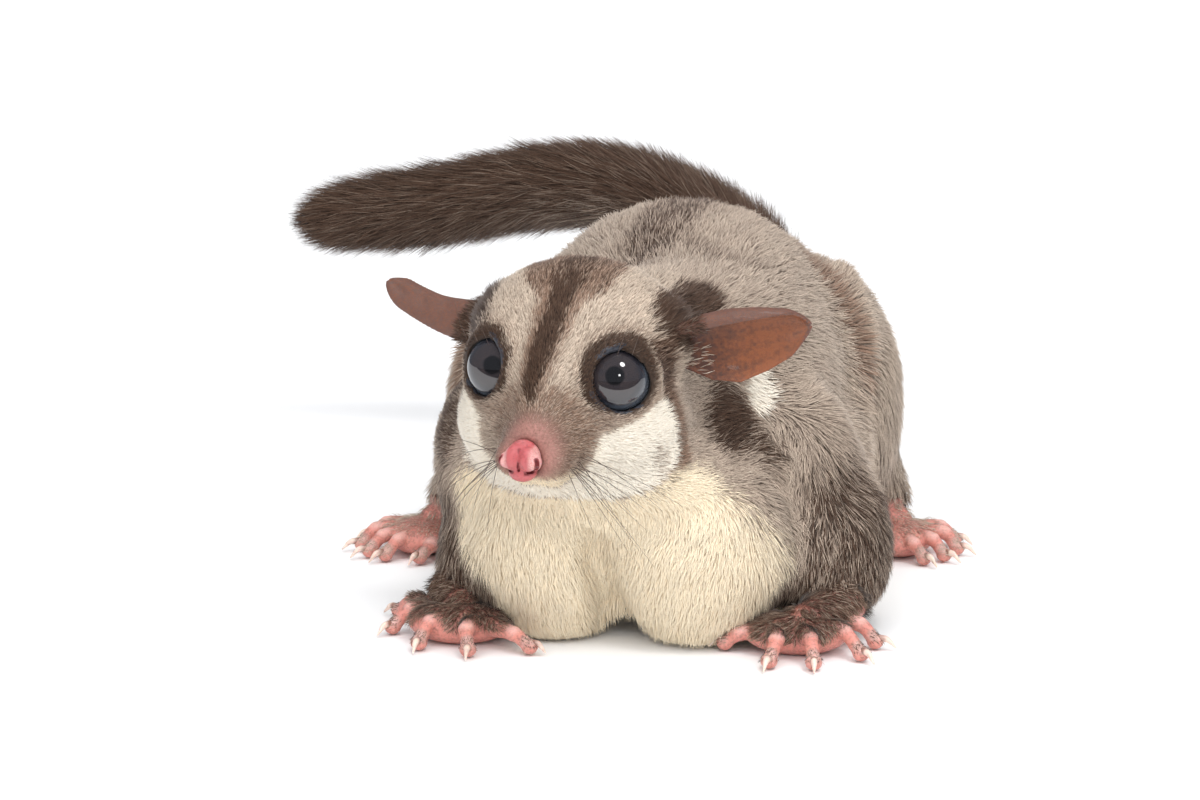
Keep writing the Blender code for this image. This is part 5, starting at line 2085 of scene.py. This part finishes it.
@dataclass
class Studio:
    """The plain floor, the lamps, the pale room and the camera."""

    card_edge: Row = (0.012, -0.170)
    card_turn: float = 14.0
    card_height: float = 0.0003
    floor_height: float = -0.0002
    floor_radius: float = 6.0
    aim: Row = (0.01, -0.06, 0.03)
    sensor: float = 36.0
    nearest_seen: float = 0.01
    room: Row = (0.86, 0.90, 1.0, 1.0)
    room_power: float = 0.22
    camera_at: Row = (0.0999, -0.6773, 0.155)
    camera_down: float = 10.7
    camera_turn: float = 8.0
    lens: float = 115.2
    lamps: tuple[Lamp, ...] = (
        Lamp("overhead", 60.0, 74.0, 0.0, 110.0, 2.5, False),
        Lamp("front", -6.0, 30.0, 0.0, 80.0, 1.7, False),
        Lamp("key", 42.0, 62.0, 1.0, 0.26, 2.6, True),
        Lamp("spark", 14.0, 26.0, 1.1, 0.15, 0.7, True),
    )

    def card(self) -> None:
        """Lays a dark card on the floor before the animal, which only mirror-like things see."""
        form = bmesh.new()
        bmesh.ops.create_grid(form, x_segments=1, y_segments=1, size=self.floor_radius * 4)
        bmesh.ops.translate(form, vec=(0.0, -self.floor_radius * 4, 0.0), verts=form.verts)
        card = shown("card", freed(form, "card"), False)
        card.location = (*self.card_edge, self.card_height)
        card.rotation_euler.z = math.radians(self.card_turn)
        card.visible_camera = card.visible_diffuse = card.visible_shadow = False
        finish = PlainFinish("card", (0.03, 0.028, 0.03), (0.04, 0.038, 0.04), 0.9, 3.0)
        card.data.materials.append(finish.material())

    def build(self) -> None:
        """Sets the studio up round the animal."""
        form = bmesh.new()
        bmesh.ops.create_circle(form, cap_ends=True, segments=96, radius=self.floor_radius)
        floor = shown("floor", freed(form, "floor"), False)
        floor.location.z = self.floor_height
        finish = PlainFinish("floor", (0.90, 0.90, 0.90), (0.93, 0.93, 0.93), 0.8, 3.0)
        floor.data.materials.append(finish.material())
        self.card()
        for lamp in self.lamps:
            lamp.build(Vector(self.aim))
        world = bpy.data.worlds.new("room")
        world.use_nodes = True
        background = world.node_tree.nodes["Background"]
        background.inputs["Color"].default_value = self.room
        background.inputs["Strength"].default_value = self.room_power
        bpy.context.scene.world = world
        bpy.context.scene.view_settings.view_transform = "Standard"
        camera = bpy.data.cameras.new("camera")
        camera.lens = self.lens
        camera.sensor_width = self.sensor
        camera.clip_start = self.nearest_seen
        holder = bpy.data.objects.new("camera", camera)
        holder.location = self.camera_at
        holder.rotation_euler = (math.radians(90 - self.camera_down), 0, math.radians(self.camera_turn))
        bpy.context.scene.collection.objects.link(holder)
        bpy.context.scene.camera = holder


# The lids' third colour, a pale bluish grey, is a painted sheen on the dark rim.
LID_SKIN = FleshFinish(
    "lid", (0.010, 0.010, 0.014), (0.028, 0.028, 0.036), (0.13, 0.145, 0.18), 0.28, 1500.0, 0.2, 0.0
)
# The nose's deep colour is painted shade in the nostrils and the groove, and its third colour, a pale pink, a
# painted highlight on the wings.
NOSE_SKIN = FleshFinish(
    "nose", (0.50, 0.115, 0.12), (0.16, 0.022, 0.024), (0.74, 0.42, 0.39), 0.34, 1600.0, 0.35
)
# The ear's deep colour tints its outer side and, inside near the root, is painted shade.
EAR_SKIN = FleshFinish(
    "ear", (0.26, 0.080, 0.028), (0.085, 0.034, 0.022), (0.125, 0.073, 0.062), 0.5, 1500.0, 0.35, 0.08
)
PAW_SKIN = FleshFinish(
    "paw", (0.66, 0.265, 0.215), (0.15, 0.062, 0.042), (0.84, 0.58, 0.52), 0.4, 2200.0, 0.3
)
HORN = FleshFinish("horn", (0.80, 0.63, 0.54), (0.28, 0.14, 0.11), (0.9, 0.8, 0.7), 0.3, 900.0, 0.05)
WHISKER = PlainFinish("whisker", (0.05, 0.03, 0.025), (0.12, 0.08, 0.06), 0.4, 300.0)


def main() -> None:
    """Builds the animal piece by piece."""
    logging.basicConfig(level=logging.INFO, format="%(name)s %(message)s")
    Studio().build()
    coat = CoatFinish().material()
    hide = Hide()
    hide.build()
    hide.dress(coat)
    LOG.info("skin: %d faces", len(hide.piece.data.polygons))
    fur = Fur(sparse=Fur.sparse)
    fur.build(hide, coat)
    eye_finish, lid_skin = EyeFinish().material(), LID_SKIN.material()
    for side in Side:
        Eye(side).ball(eye_finish)
        Eye(side).lids(lid_skin)
        LOG.info("%s eye with its lids", side.word)
    NosePad().build(NOSE_SKIN.material())
    LOG.info("nose")
    ear_skin = EAR_SKIN.material()
    for ear in EARS:
        fur.fringe(ear.build(ear_skin), f"fur_ear_{ear.side.word}", Slot.FUR_DARK, coat)
        LOG.info("%s ear", ear.side.word)
    Whiskers().build(WHISKER.material())
    LOG.info("whiskers")
    horn, paw_skin = HORN.material(), PAW_SKIN.material()
    for paw in PAWS:
        fur.fringe(paw.build(paw_skin), f"fur_{paw.name}", Slot.FUR_DARK, coat)
        paw.nails(horn)
        LOG.info("%s with its claws", paw.name)


if __name__ == "__main__":
    main()
